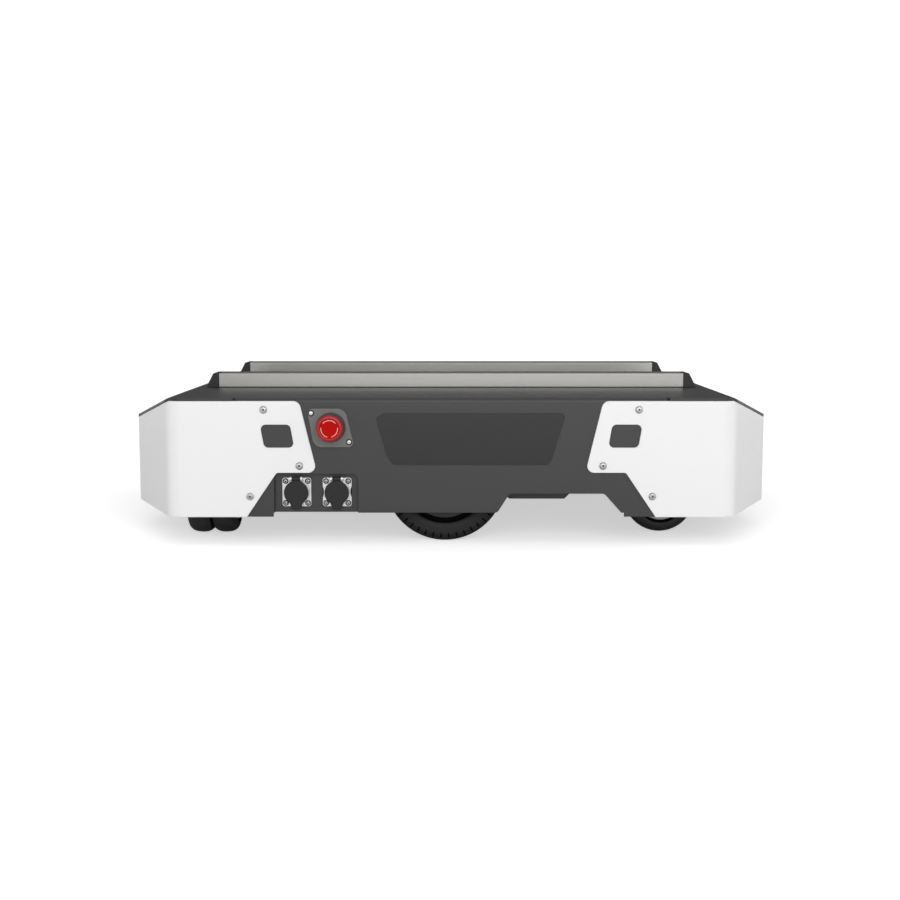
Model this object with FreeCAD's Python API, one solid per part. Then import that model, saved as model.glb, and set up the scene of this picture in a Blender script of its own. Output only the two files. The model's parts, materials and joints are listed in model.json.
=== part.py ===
import FreeCAD, Part
import math
import os

# Autonomous mobile robot: a low differential-drive base with two sprung drive wheels,
# four twin-wheel casters, an octagonal sheet-metal body and two T-slot rails on its deck.
# Millimetres. +X is the front, +Y the left side, +Z up. The origin is on the floor under
# the middle of the body.

V = FreeCAD.Vector

# ---------------------------------------------------------------- driving dimensions

# body outline
body_length = 685.0
body_width = 570.0
end_run = 58.2  # length of the chamfers, and of the sloping ends of the deck
end_half_y = 164.0  # half the width of the front and rear faces
corner_r = 20.0  # upright bends of the outline
skirt_z = 28.4  # lower edge of the corner covers
nose_clearance = 15.0  # from the caster carriers up to the deck's front and rear edges
deck_rise = 27.0  # from those edges up to the flat deck

# sheet thicknesses
deck_t = 3.0
cover_t = 2.5
panel_t = 3.0
pan_t = 3.0

# top cover: deck and side walls bent from one sheet
bend_r = 4.0
relief_x = 217.6  # bend reliefs between the side walls and the free deck edge
relief_w = 3.0
relief_depth = 5.0
wall_corner_r = 2.0
sill_z = 32.5  # lower edge of the side wall
notch_x = 46.7  # the cut-out in front of the drive wheel starts here
notch_rise = 12.3  # its length at the rising edge, the flat and the falling edge
notch_flat = 95.9
notch_fall = 17.3
notch_h = 19.4
notch_r = 5.0
sill_step = 3.0  # from the cut-out to the lower stretch of wall in front of it

# corner covers, seen from the side: x of the inner edge at each height
cover_top_x = 152.5
cover_mid_x = 135.2
cover_mid_z = 73.6
cover_step_x = 176.0
cover_low_x = 206.7
cover_top_r = 8.0
cover_mid_r = 7.0
cover_step_r = 4.0
window_drop = 26.6  # from the deck to the window's upper edge
window_h = 23.4
window_x = 157.8  # at the window's lower edge
window_lean = 4.0
window_w = 30.3
window_r = 5.0
# the same cover where it wraps onto the front or rear face: distance of its edge from the chamfer
wrap_top = 52.0
wrap_mid = 68.0
wrap_step = 38.0
wrap_low = 14.0

# button-head screws of the covers: head radius, head height, shank radius, length under the head
m4_head_r = 3.9
m4_head_h = 2.2
m4_shank_r = 2.0
m4_length = 8.0
screw_play = 0.2
screw_hole_depth = 12.0
top_screw_x = 188.2
top_screw_drop = 11.6  # below the deck
mid_screw_x = 152.8
mid_screw_rise = 7.1  # above the cover's middle corner
low_screw_x = 203.0
low_screw_rise = 21.2  # above the skirt
wrap_screw_in = 12.0  # sideways from the wrap's upper inner edge
wrap_screw_drop = 19.0  # below the nose
wrap_low_screw_in = 14.0
wrap_low_screw_rise = 8.4

# deck rails
rail_setback = 10.85  # from the fold of the deck to the end cap
rail_w = 33.5
rail_h = 16.0
rail_edge_r = 1.0
rail_y = 115.0
slot_w = 8.2
slot_lip_t = 3.2
slot_inner_w = 17.0
slot_inner_h = 7.5
cap_straight = 6.4
cap_base = 14.7
cap_edge_r = 2.0

# drive wheels
axle_x = -6.5
tyre_r = 62.0
tyre_w = 50.0
tyre_inset = 15.0  # from the side wall's inner face to the tyre
tyre_bead_r = 43.3
tyre_flank_r = 55.8  # where the flank turns into the shoulder
tyre_flank_in = 1.5
tyre_shoulder_h = 1.8
tyre_shoulder_in = 3.0
tyre_crown_in = 8.0
rim_face_r = 37.9
rim_groove = 9.0
rim_hub_r = 16.0
rim_disc_t = 12.0
rim_lip_in = 3.0
rim_barrel_t = 4.3
nut_pocket = 6.0
nut_pocket_rim = 3.0
nut_rim = 4.0
nut_t = 4.0
axle_r = 7.0
axle_end = 1.0  # how far the axle stands out of its nut
axle_reach = 12.0  # from the arm's inner face into the gearbox

# swing arm and suspension
ear_tyre_gap = 2.5  # from the tyre to the bracket's ears
pivot_setback = 34.0  # from the ears' rear edge to the pivot
pivot_z = 58.0
pivot_pin_r = 8.0
pivot_pin_head = 3.0
pivot_boss_r = 14.0
arm_t = 10.0
arm_wheel_gap = 8.5  # from the tyre's inner face to the arm
arm_pan_gap = 10.0  # from the arm to the pan's wall
arm_flange_r = 32.0
ear_t = 6.0
ear_inset = 12.5  # from the tyre's outer face to the outer ear
ear_below = 15.8  # below the pivot
ear_above = 18.0
ear_ahead = 25.0
ear_toe = 6.0
bracket_headroom = 6.0  # from the bracket to the deck
spring_back = 47.0  # from the pivot to the spring
spring_r = 9.5
spring_bore_r = 5.0
spring_groove = 2.0
spring_lobes = 4
spring_play = 1.5
spring_seat_rise = 30.0  # above the pivot
spring_seat_t = 4.0
spring_stud_h = 8.0
shelf_overhang = 5.0
swing_up_deg = 5.0

# gearmotor
motor_gear_r = 30.0
motor_gear_l = 52.0
motor_can_r = 27.5
motor_can_l = 58.0
motor_tail_r = 20.0
motor_tail_l = 15.0
motor_nose_r = 18.0
motor_play = 4.0
motor_nose_stand = 2.5  # how far the gearbox nose stands out of the arm

# twin-wheel casters
caster_end_gap = 90.5  # from the rear end of the body to the rear swivel axes
caster_inset = 92.5  # from the side walls to the swivel axes
caster_trail = 16.5
caster_r = 37.5
caster_wheel_w = 26.2
caster_twin_gap = 2.9
caster_hub_r = 23.3
caster_groove_r = 28.3
caster_groove_depth = 5.0
caster_inner_drop = 3.2  # the tread falls gently to the inner face
caster_inner_run = 7.0
caster_crown_w = 6.0
caster_shoulder_drop = 3.3  # and steeply to the outer face
caster_shoulder = 4.5
caster_boss_r = 11.25
caster_cap_rise = 1.2
caster_axle_r = 4.0
caster_plate_half = 32.0
caster_plate_r = 6.0
caster_plate_t = 3.0
caster_race_r = 21.0
caster_race_h = 6.0
fork_headroom = 12.0  # from the wheels up to the top of the fork
fork_crown_t = 5.0
fork_crown_back = 12.0
fork_crown_front = 24.0
fork_leg_t = 3.0
fork_leg_play = 1.5
fork_cheek_back = 8.0
fork_cheek_front = 22.0
fork_cheek_h = 17.0
fork_knee_x = 7.0
fork_knee_r = 15.0
fork_toe_r = 11.0
fork_boss_r = 17.0
fork_to_plate = 17.0  # from the fork up to the carrier plate
kingpin_r = 6.0
kingpin_end = 0.5
bolt_head_h = 3.0
bolt_head_rim = 2.5

# carriers of the casters: folded plates from the pan to the end panels
carrier_t = 3.0
carrier_inset = 10.0  # from the end panels' chamfers
carrier_edge_in = 57.5  # from the side walls
carrier_lip = 12.0
carrier_lip_in = 24.0  # from the chamfers to the ends of the lip
carrier_rib_h = 20.0
carrier_rib_y = 95.0
carrier_upstand_in = 30.0  # from the fold of the deck
carrier_corner_r = 6.0

# central pan
pan_caster_gap = 1.0  # between the pan and the sweep of the casters
pan_z = 47.0
pan_flange = 14.0

# emergency stops; the outline of their plates is measured from the button's axis
estop_x = -120.9
estop_drop = 29.2  # below the deck
estop_plate_t = 2.0
estop_plate_outline = ((-17.2, -20.4, 10.0), (23.6, -20.4, 5.0), (14.5, 18.6, 10.0), (-23.9, 18.6, 5.0))
estop_head_r = 13.3
estop_head_l = 8.5
estop_head_skirt = 4.5
estop_head_dome = 1.2
estop_collar_r = 14.8
estop_collar_h = 4.5
estop_travel = 4.0
estop_stem_r = 8.5
estop_spigot_r = 4.25
estop_spigot_l = 4.0
estop_barrel_r = 11.0
estop_barrel_l = 16.0  # behind the side wall's outer face
estop_bore_l = 12.0
estop_contact = 30.0
estop_contact_l = 20.0
estop_contact_drop = 12.0

# connector recess and its two round sockets
comm_x = -115.5
socket_pitch = 40.9
socket_z = 53.3
recess_rear_gap = 7.65  # from a socket's flange to the edge of the recess
recess_front_gap = 6.55
recess_top_gap = 3.95
recess_depth = 5.5
recess_r = 6.0
recess_rim = 5.0  # overlap of the connector plate behind the wall
wall_step_gap = 1.2  # from the recess to the lower stretch of wall behind it
socket_bore_r = 9.0
socket_wall = 1.5
socket_collar_rim = 1.0
socket_collar_h = 6.0
socket_depth = 18.0
socket_back = 22.0
socket_flange = 29.5
socket_flange_t = 2.2
socket_flange_r = 3.0
scallop_r = 13.2
scallop_out = 12.0  # from the flange's edge to the middle of each scallop
lid_rim = 0.8
lid_t = 3.0
lid_hinge_w = 8.0
lid_hinge_rise = 1.9  # hinge axis above the lid's rim
lid_lug_w = 2.2
lid_pin_r = 1.0
lid_knuckle_r = 2.4
lid_tongue_w = 13.0
lid_tongue_tip = 8.0
lid_tongue_l = 4.6
lid_tongue_root = 2.0

# badge panel, left bare: x, distance below the deck and rounding of each corner
badge_t = 0.8
badge_outline = (
    (-75.8, 20.2, 2.0),
    (-68.3, 15.4, 4.0),
    (112.7, 15.4, 2.5),
    (114.1, 20.0, 3.0),
    (100.8, 64.2, 6.0),
    (96.5, 67.6, 5.0),
    (-58.8, 67.6, 6.0),
    (-65.0, 58.0, 8.0),
)

# front light and rear power switch
light_half_y = 84.0
light_drop = 22.0  # below the nose
light_h = 8.0
light_proud = 1.5
light_flange = 4.0
light_flange_t = 3.0
light_flange_r = 3.0
power_y = -40.0
power_drop = 32.0  # below the nose
power_ring_r = 12.0
power_ring_t = 2.0
power_barrel_r = 10.0
power_barrel_l = 22.0
power_button_r = 8.0
power_bore_l = 14.0
power_travel = 2.0
power_stand = 1.0

# battery and electronics in the pan
battery_wall_gap = 7.0
battery_motor_gap = 15.5
battery_side_gap = 33.0
battery_headroom = 18.0
battery_edge_r = 6.0
battery_seam = 1.0
battery_seam_share = 0.85  # height of the lid seam
terminal_h = 10.0
terminal_w = 60.0
terminal_l = 26.0
board_motor_gap = 24.5
board_wall_gap = 17.0
board_half_y = 52.0
board_h = 34.0
board_plug_l = 10.0
board_plug_h = 8.0
board_plug_in = 8.0
board_plug_back = 4.0
driver_gap = 14.0
driver_set_back = 10.0
driver_h = 22.0
fin_pitch = 9.0
fin_t = 3.0
fin_h = 12.0
fin_edge = 4.0

running = 0.05  # radial clearance of a shaft in its hole
gap = 0.3  # between pieces that move past one another
over = 1.0  # how far a cutting shape runs past the face it opens

# ---------------------------------------------------------------- worked-out sizes

half_l = body_length / 2
half_w = body_width / 2
fold_x = half_l - end_run  # the deck folds down and the sides turn into the chamfers here
wall_y = half_w - cover_t  # outer face of the side walls
wall_in_y = wall_y - deck_t
end_face_x = half_l - cover_t  # outer face of the end panels
end_in_x = end_face_x - panel_t

# heights, built up from the floor over the casters
caster_z = caster_r
fork_top_z = 2 * caster_r + fork_headroom
caster_plate_z = fork_top_z + fork_to_plate  # underside of the carrier plate
nose_z = caster_plate_z + carrier_t + nose_clearance  # top of the deck at its front and rear edges
deck_z = nose_z + deck_rise  # top of the flat deck
deck_under_z = deck_z - deck_t
slope = math.atan2(deck_rise, end_run)

# from the side walls inward: tyre, arm, pan
tyre_y = wall_in_y - tyre_inset
tyre_inner_y = tyre_y - tyre_w
arm_y1 = tyre_inner_y - arm_wheel_gap  # outer face of the arm plate
arm_y0 = arm_y1 - arm_t
pan_half_y = arm_y0 - arm_pan_gap
carrier_half_y = wall_y - carrier_edge_in
motor_inner_y = arm_y0 - motor_gear_l - motor_can_l - motor_tail_l

# suspension
axle_z = tyre_r
ear_x0 = axle_x + tyre_r + ear_tyre_gap
pivot_x = ear_x0 + pivot_setback
ear_x1 = pivot_x + ear_ahead
ear_bottom_z = pivot_z - ear_below
ear_top_z = pivot_z + ear_above
ear_outer_y = tyre_y - ear_inset
bracket_top_z = deck_under_z - bracket_headroom
spring_x = pivot_x - spring_back
spring_seat_z = pivot_z + spring_seat_rise
swing_lift = (pivot_x - axle_x) * math.sin(math.radians(swing_up_deg))
motor_slot_half = motor_gear_r + motor_play

# casters, the same distance in front of and behind the drive axle
caster_y = wall_y - caster_inset
caster_reach = half_l - caster_end_gap + axle_x
caster_sweep = math.hypot(caster_trail + caster_r, caster_wheel_w + caster_twin_gap / 2)
pan_half_x = axle_x + caster_reach - caster_sweep - pan_caster_gap

# rails
rail_length = 2 * (fold_x - rail_setback - cap_base)

# covers and their screws
window_z1 = deck_z - window_drop
window_z0 = window_z1 - window_h
cover_screws_xz = (
    (top_screw_x, deck_z - top_screw_drop),
    (mid_screw_x, cover_mid_z + mid_screw_rise),
    (low_screw_x, skirt_z + low_screw_rise),
)
wrap_top_y = end_half_y - wrap_top
wrap_mid_y = end_half_y - wrap_mid
wrap_step_y = end_half_y - wrap_step
wrap_low_y = end_half_y - wrap_low
wrap_screws_yz = (
    (wrap_top_y + wrap_screw_in, nose_z - wrap_screw_drop),
    (wrap_mid_y + wrap_low_screw_in, cover_mid_z + wrap_low_screw_rise),
)

# emergency stops, light and switch
estop_z = deck_z - estop_drop
light_z1 = nose_z - light_drop
light_z0 = light_z1 - light_h
power_z = nose_z - power_drop

# connectors
charge_x = comm_x - socket_pitch
recess_x0 = charge_x - socket_flange / 2 - recess_rear_gap
recess_x1 = comm_x + socket_flange / 2 + recess_front_gap
recess_z1 = socket_z + socket_flange / 2 + recess_top_gap
step_rear_x = recess_x0 - wall_step_gap
socket_barrel_r = socket_bore_r + socket_wall
socket_collar_r = socket_barrel_r + socket_collar_rim
lid_r = socket_collar_r + lid_rim
lid_hinge_h = lid_r + lid_hinge_rise

# units in the pan
pan_floor_z = pan_z + pan_t
battery_x0 = -pan_half_x + pan_t + battery_wall_gap
battery_x1 = axle_x - motor_slot_half - battery_motor_gap
battery_half_y = pan_half_y - pan_t - battery_side_gap
battery_h = deck_under_z - pan_floor_z - battery_headroom
board_x0 = axle_x + motor_slot_half + board_motor_gap
board_x1 = pan_half_x - pan_t - board_wall_gap

CORNERS = {"front_right": (1, -1), "front_left": (1, 1), "rear_right": (-1, -1), "rear_left": (-1, 1)}
SIDES = {"right": -1, "left": 1}

# ---------------------------------------------------------------- shape helpers


def outline_face(corners, place):
    """Face inside a closed outline of (u, v, radius) corners, with place(u, v) giving the 3-D point."""
    flat = [V(u, v, 0) for u, v, _ in corners]
    count = len(corners)
    starts, ends, mids = [], [], []
    for i, (_, _, radius) in enumerate(corners):
        here = flat[i]
        back = (flat[i - 1] - here).normalize()
        ahead = (flat[(i + 1) % count] - here).normalize()
        half = back.getAngle(ahead) / 2
        trim = radius / math.tan(half) if radius else 0.0
        starts.append(here + back * trim)
        ends.append(here + ahead * trim)
        toward = back + ahead
        mids.append(here + toward.normalize() * (radius / math.sin(half) - radius) if radius else here)
    edges = []
    for i in range(count):
        if corners[i][2]:
            points = [place(p.x, p.y) for p in (starts[i], mids[i], ends[i])]
            edges.append(Part.Arc(*points).toShape())
        following = starts[(i + 1) % count]
        if (following - ends[i]).Length > 1e-6:
            edges.append(Part.makeLine(place(ends[i].x, ends[i].y), place(following.x, following.y)))
    return Part.Face(Part.Wire(edges))


def sharp(points):
    """The same points with no rounding."""
    return [(u, v, 0.0) for u, v in points]


def prism_z(corners, z0, z1):
    return outline_face(corners, lambda u, v: V(u, v, z0)).extrude(V(0, 0, z1 - z0))


def prism_y(corners, y0, y1):
    return outline_face(corners, lambda u, v: V(u, y0, v)).extrude(V(0, y1 - y0, 0))


def prism_x(corners, x0, x1):
    return outline_face(corners, lambda u, v: V(x0, u, v)).extrude(V(x1 - x0, 0, 0))


def block(x0, x1, y0, y1, z0, z1):
    low = V(min(x0, x1), min(y0, y1), min(z0, z1))
    return Part.makeBox(abs(x1 - x0), abs(y1 - y0), abs(z1 - z0), low)


def rod(start, end, radius):
    """Cylinder between two points."""
    return Part.makeCylinder(radius, (end - start).Length, start, end - start)


def spin(profile, x, z):
    """Solid of revolution about the line along Y through (x, z); the profile is (radius, y) points."""
    points = [V(x + r, y, z) for r, y in profile]
    face = Part.Face(Part.makePolygon(points + points[:1]))
    return face.revolve(V(x, 0, z), V(0, 1, 0), 360)


def belt(x_a, z_a, r_a, x_b, z_b, r_b, y0, y1):
    """Plate around two circles and the straight tangents between them."""
    along = V(x_b - x_a, z_b - z_a, 0)
    heading = math.atan2(along.y, along.x)
    lean = math.acos((r_a - r_b) / along.Length)
    points = []
    end_a, end_b = (x_a, z_a, r_a), (x_b, z_b, r_b)
    for (x, z, r), turn in ((end_a, lean), (end_b, lean), (end_b, -lean), (end_a, -lean)):
        points.append(V(x + r * math.cos(heading + turn), y0, z + r * math.sin(heading + turn)))
    nose = V(x_b + r_b * math.cos(heading), y0, z_b + r_b * math.sin(heading))
    tail = V(x_a - r_a * math.cos(heading), y0, z_a - r_a * math.sin(heading))
    edges = [
        Part.makeLine(points[0], points[1]),
        Part.Arc(points[1], nose, points[2]).toShape(),
        Part.makeLine(points[2], points[3]),
        Part.Arc(points[3], tail, points[0]).toShape(),
    ]
    return Part.Face(Part.Wire(edges)).extrude(V(0, y1 - y0, 0))


def fuse(*shapes):
    return shapes[0].fuse(list(shapes[1:])).removeSplitter()


def on_side(shape, side):
    """A shape made for the right side (y < 0), or its mirror image for the left."""
    return shape if side < 0 else shape.mirror(V(0, 0, 0), V(0, 1, 0))


def to_front(shape, end):
    """A shape made for the front (x > 0), or its mirror image for the rear."""
    return shape if end > 0 else shape.mirror(V(0, 0, 0), V(1, 0, 0))


def screw(seat, inward, head_r, head_h, shank_r, length):
    """Button-head screw whose head rests at seat and whose shank runs inward."""
    head = rod(seat, seat - inward * head_h, head_r)
    return fuse(head, rod(seat, seat + inward * length, shank_r))


def save(node, *shapes):
    """Write one sub-part, after checking that each of its solids is closed."""
    solids = [solid for shape in shapes for solid in shape.Solids]
    for solid in solids:
        if not solid.isValid() or solid.Volume <= 0:
            raise ValueError("sub-part %s has a faulty solid" % node)
    body = solids[0] if len(solids) == 1 else Part.makeCompound(solids)
    body.exportStep("parts/%s.step" % node)


# ---------------------------------------------------------------- body outline


def plan_corners(inset, radius):
    """The octagonal plan, moved inward by inset."""
    run = V(half_l - fold_x, half_w - end_half_y, 0)
    nx, ny = run.y / run.Length, run.x / run.Length
    reach = nx * fold_x + ny * half_w - inset
    x1, y1 = half_l - inset, half_w - inset
    side_x = (reach - ny * y1) / nx
    end_y = (reach - nx * x1) / ny
    return [
        (x, y, radius)
        for x, y in (
            (side_x, -y1),
            (x1, -end_y),
            (x1, end_y),
            (side_x, y1),
            (-side_x, y1),
            (-x1, end_y),
            (-x1, -end_y),
            (-side_x, -y1),
        )
    ]


def plan_ring(outer_inset, thickness, z0, z1):
    """Upright wall that follows the plan."""
    outer = prism_z(plan_corners(outer_inset, corner_r - outer_inset), z0, z1)
    inner_inset = outer_inset + thickness
    return outer.cut(prism_z(plan_corners(inner_inset, corner_r - inner_inset), z0, z1))


def below_deck(depth, z0):
    """Everything between z0 and a surface that lies depth under the deck's upper face."""
    fold = fold_x - depth * math.tan(slope / 2)
    nose = nose_z - depth / math.cos(slope)
    top = deck_z - depth
    points = [(-half_l, z0), (half_l, z0), (half_l, nose), (fold, top), (-fold, top), (-half_l, nose)]
    return prism_y(sharp(points), -half_w, half_w)


# ---------------------------------------------------------------- shell


def side_wall_corners():
    """Outline of one side wall in x and z, from its rear top corner round the lower edge."""
    edge = relief_x - relief_w / 2
    top = deck_under_z - relief_depth / 2
    notch_top_x = notch_x + notch_rise
    notch_end_x = notch_top_x + notch_flat + notch_fall
    return [
        (-edge, top, 0.0),
        (-edge, skirt_z, wall_corner_r),
        (step_rear_x, skirt_z, 0.0),
        (step_rear_x, sill_z, 0.0),
        (notch_x, sill_z, notch_r),
        (notch_top_x, sill_z + notch_h, notch_r),
        (notch_top_x + notch_flat, sill_z + notch_h, notch_r),
        (notch_end_x, sill_z, 0.0),
        (notch_end_x + sill_step, sill_z, 0.0),
        (notch_end_x + sill_step, skirt_z, 0.0),
        (edge, skirt_z, wall_corner_r),
        (edge, top, 0.0),
    ]


def bent_side():
    """Right side wall with the bend that carries it from the deck."""
    edge = relief_x - relief_w / 2
    inner = wall_in_y
    join = inner - relief_depth - bend_r
    section = [
        (-wall_y, skirt_z, 0.0),
        (-wall_y, deck_z, bend_r),
        (-join, deck_z, 0.0),
        (-join, deck_under_z, 0.0),
        (-inner, deck_under_z, bend_r - deck_t),
        (-inner, skirt_z, 0.0),
    ]
    sheet = prism_x(section, -edge, edge)
    kept = prism_y(side_wall_corners(), -half_w, -inner + 0.5 * bend_r)
    crown = block(-edge, edge, -half_w, -join, deck_under_z - relief_depth / 2, deck_z)
    return sheet.common(fuse(kept, crown))


def cover_holes(side_only=False):
    """Holes for the cover screws of the front right corner."""
    radius = m4_shank_r + screw_play
    out, deep = over, screw_hole_depth
    holes = [rod(V(x, -half_w - out, z), V(x, -half_w + deep, z), radius) for x, z in cover_screws_xz]
    if not side_only:
        holes += [rod(V(half_l + out, -y, z), V(half_l - deep, -y, z), radius) for y, z in wrap_screws_yz]
    return holes


def top_cover():
    """Deck with sloping ends and both side walls."""
    sheet = below_deck(0.0, skirt_z).cut(below_deck(deck_t, skirt_z))
    deck = sheet.common(prism_z(plan_corners(0.0, corner_r), skirt_z, deck_z))
    walls = []
    for side in SIDES.values():
        edge = relief_x + relief_w / 2
        inner = wall_in_y - relief_depth
        deck = deck.cut(block(-edge, edge, side * inner, side * (half_w + over), skirt_z, deck_z + over))
        wall = bent_side()
        for end in (1, -1):
            for hole in cover_holes(side_only=True):
                wall = wall.cut(to_front(hole, end))
        button_hole = V(estop_x, -half_w, estop_z), V(estop_x, -wall_in_y + over, estop_z)
        wall = wall.cut(rod(*button_hole, estop_barrel_r + screw_play))
        if side < 0:
            wall = wall.cut(recess_opening())
        walls.append(on_side(wall, side))
    return fuse(deck, *walls)


def recess_opening():
    """Cut-out of the right side wall in front of the connectors, open at its lower edge."""
    corners = [
        (recess_x0, skirt_z - over, 0.0),
        (recess_x1, skirt_z - over, 0.0),
        (recess_x1, recess_z1, recess_r),
        (recess_x0, recess_z1, 0.0),
    ]
    return prism_y(corners, -half_w - over, -wall_in_y + over)


def corner_cover():
    """White cover of the front right corner, wrapping from the side round the chamfer to the front face."""
    ring = plan_ring(0.0, cover_t, skirt_z, deck_z).common(below_deck(deck_t, skirt_z))
    far = half_l + over
    side_view = [
        (cover_top_x, deck_under_z, cover_top_r),
        (cover_mid_x, cover_mid_z, cover_mid_r),
        (cover_step_x, cover_mid_z, cover_step_r),
        (cover_low_x, skirt_z, 0.0),
        (far, skirt_z, 0.0),
        (far, deck_under_z, 0.0),
    ]
    cover = ring.common(prism_y(side_view, -half_w - over, 0))
    end_opening = [
        (-wrap_top_y, deck_z, 0.0),
        (-wrap_mid_y, cover_mid_z, cover_mid_r),
        (-wrap_step_y, cover_mid_z, cover_step_r),
        (-wrap_low_y, skirt_z - over, 0.0),
        (wrap_low_y, skirt_z - over, 0.0),
        (wrap_low_y, deck_z, 0.0),
    ]
    cover = cover.cut(prism_x(end_opening, half_l - corner_r, far))
    window = [
        (window_x, window_z0, window_r),
        (window_x + window_w, window_z0, window_r),
        (window_x + window_w + window_lean, window_z1, window_r),
        (window_x + window_lean, window_z1, window_r),
    ]
    cover = cover.cut(prism_y(window, -half_w - over, -wall_y + over))
    return cover.cut(cover_holes())


def end_panel(end):
    """Dark panel across the front or rear face, turned back along both chamfers behind the covers."""
    ring = plan_ring(cover_t, panel_t, skirt_z + panel_t, deck_z).common(below_deck(deck_t, skirt_z))
    reach = end_run * 0.6
    panel = ring.common(block(half_l - reach, half_l, -half_w, half_w, skirt_z, deck_z))
    for side in SIDES.values():
        for hole in cover_holes():
            panel = panel.cut(on_side(hole, side))
    panel = to_front(panel, end)
    if end > 0:
        return panel.cut(light_shape(0.0))
    switch_hole = V(-half_l, power_y, power_z), V(-end_in_x + over, power_y, power_z)
    return panel.cut(rod(*switch_hole, power_barrel_r + screw_play))


def light_shape(shrink):
    """Slot of the front light, or the body of its lens when shrunk by its clearance."""
    y = light_half_y - shrink
    z0, z1 = light_z0 + shrink, light_z1 - shrink
    r = (z1 - z0) * 0.47
    corners = [(-y, z0, r), (y, z0, r), (y, z1, r), (-y, z1, r)]
    return prism_x(corners, end_in_x - over, end_face_x + light_proud)


def front_light_lens():
    y = light_half_y + light_flange
    z0, z1, r = light_z0 - light_flange, light_z1 + light_flange, light_flange_r
    flange = [(-y, z0, r), (y, z0, r), (y, z1, r), (-y, z1, r)]
    back = prism_x(flange, end_in_x - light_flange_t, end_in_x)
    return fuse(back, light_shape(screw_play))


# ---------------------------------------------------------------- chassis


def base_pan():
    """Open-topped central tub that carries the drives, the battery and the electronics."""
    outer = block(-pan_half_x, pan_half_x, -pan_half_y, pan_half_y, pan_z, deck_under_z)
    ix, iy = pan_half_x - pan_t, pan_half_y - pan_t
    pan = outer.cut(block(-ix, ix, -iy, iy, pan_floor_z, deck_under_z))
    for side in SIDES.values():
        flange = block(-ix, ix, side * iy, side * (iy - pan_flange), deck_under_z - pan_t, deck_under_z)
        pan = pan.fuse(flange)
        slot_top = axle_z + swing_lift
        x0, x1 = axle_x - motor_slot_half, axle_x + motor_slot_half
        wall_y0, wall_y1 = side * (iy - over), side * (pan_half_y + over)
        pan = pan.cut(block(x0, x1, wall_y0, wall_y1, pan_z - over, slot_top))
        pan = pan.cut(rod(V(axle_x, wall_y0, slot_top), V(axle_x, wall_y1, slot_top), motor_slot_half))
        floor_end = side * (motor_inner_y - motor_play)
        pan = pan.cut(block(x0, x1, floor_end, wall_y1, pan_z - over, pan_floor_z + over))
    return pan.removeSplitter()


def caster_carrier(end):
    """Folded plate that bridges from the pan to an end panel above two casters."""
    x_in, x_out = pan_half_x, end_in_x
    z0, z1 = caster_plate_z, caster_plate_z + carrier_t
    rib_z = z0 - carrier_rib_h
    plan = prism_z(plan_corners(cover_t + panel_t + carrier_inset, carrier_corner_r), z0, z1)
    plate = plan.common(block(x_in, x_out, -carrier_half_y, carrier_half_y, 0, deck_z))
    flange_y = pan_half_y - pan_t
    lip_y = end_half_y - carrier_lip_in
    flange = block(x_in, x_in + carrier_t, -flange_y, flange_y, rib_z, z0)
    lip = block(x_out - carrier_lip, x_out, -lip_y, lip_y, z0, z1)
    bracket = block(x_out - carrier_t, x_out, -lip_y, lip_y, z0, deck_z)
    parts = [plate, flange, lip, bracket]
    for side in SIDES.values():
        rib_y, edge = side * carrier_rib_y, side * carrier_half_y
        parts.append(block(x_in, x_out - carrier_lip, rib_y, rib_y + side * carrier_t, rib_z, z0))
        upstand_x = x_in + carrier_lip, fold_x - carrier_upstand_in
        parts.append(block(*upstand_x, edge, edge - side * carrier_t, z0, deck_under_z))
    carrier = fuse(*parts).common(below_deck(deck_t, 0))
    for side in SIDES.values():
        for hole in cover_holes():
            carrier = carrier.cut(on_side(hole, side))
    return to_front(carrier, end)


def caster_places():
    """Swivel axis of each corner and the direction its wheels trail at rest, in degrees from +X."""
    places = {}
    for name, (end, side) in CORNERS.items():
        trail = 180.0 if end > 0 else 90.0 * side
        places[name] = (V(axle_x + end * caster_reach, side * caster_y, 0), trail)
    return places


def placed(shape, spot, trail_deg):
    """Turn a caster piece, made trailing toward +X at the origin, and set it on its swivel axis."""
    moved = shape.copy()
    moved.rotate(V(0, 0, 0), V(0, 0, 1), trail_deg)
    moved.translate(spot)
    return moved


def caster_top_plate():
    top = caster_plate_z
    low = top - caster_plate_t
    s = caster_plate_half
    r = caster_plate_r
    plate = prism_z([(-s, -s, r), (s, -s, r), (s, s, r), (-s, s, r)], low, top)
    race = rod(V(0, 0, low - caster_race_h), V(0, 0, low), caster_race_r)
    bore = rod(V(0, 0, low - caster_race_h - over), V(0, 0, top + over), kingpin_r + running)
    return fuse(plate, race).cut(bore)


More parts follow.
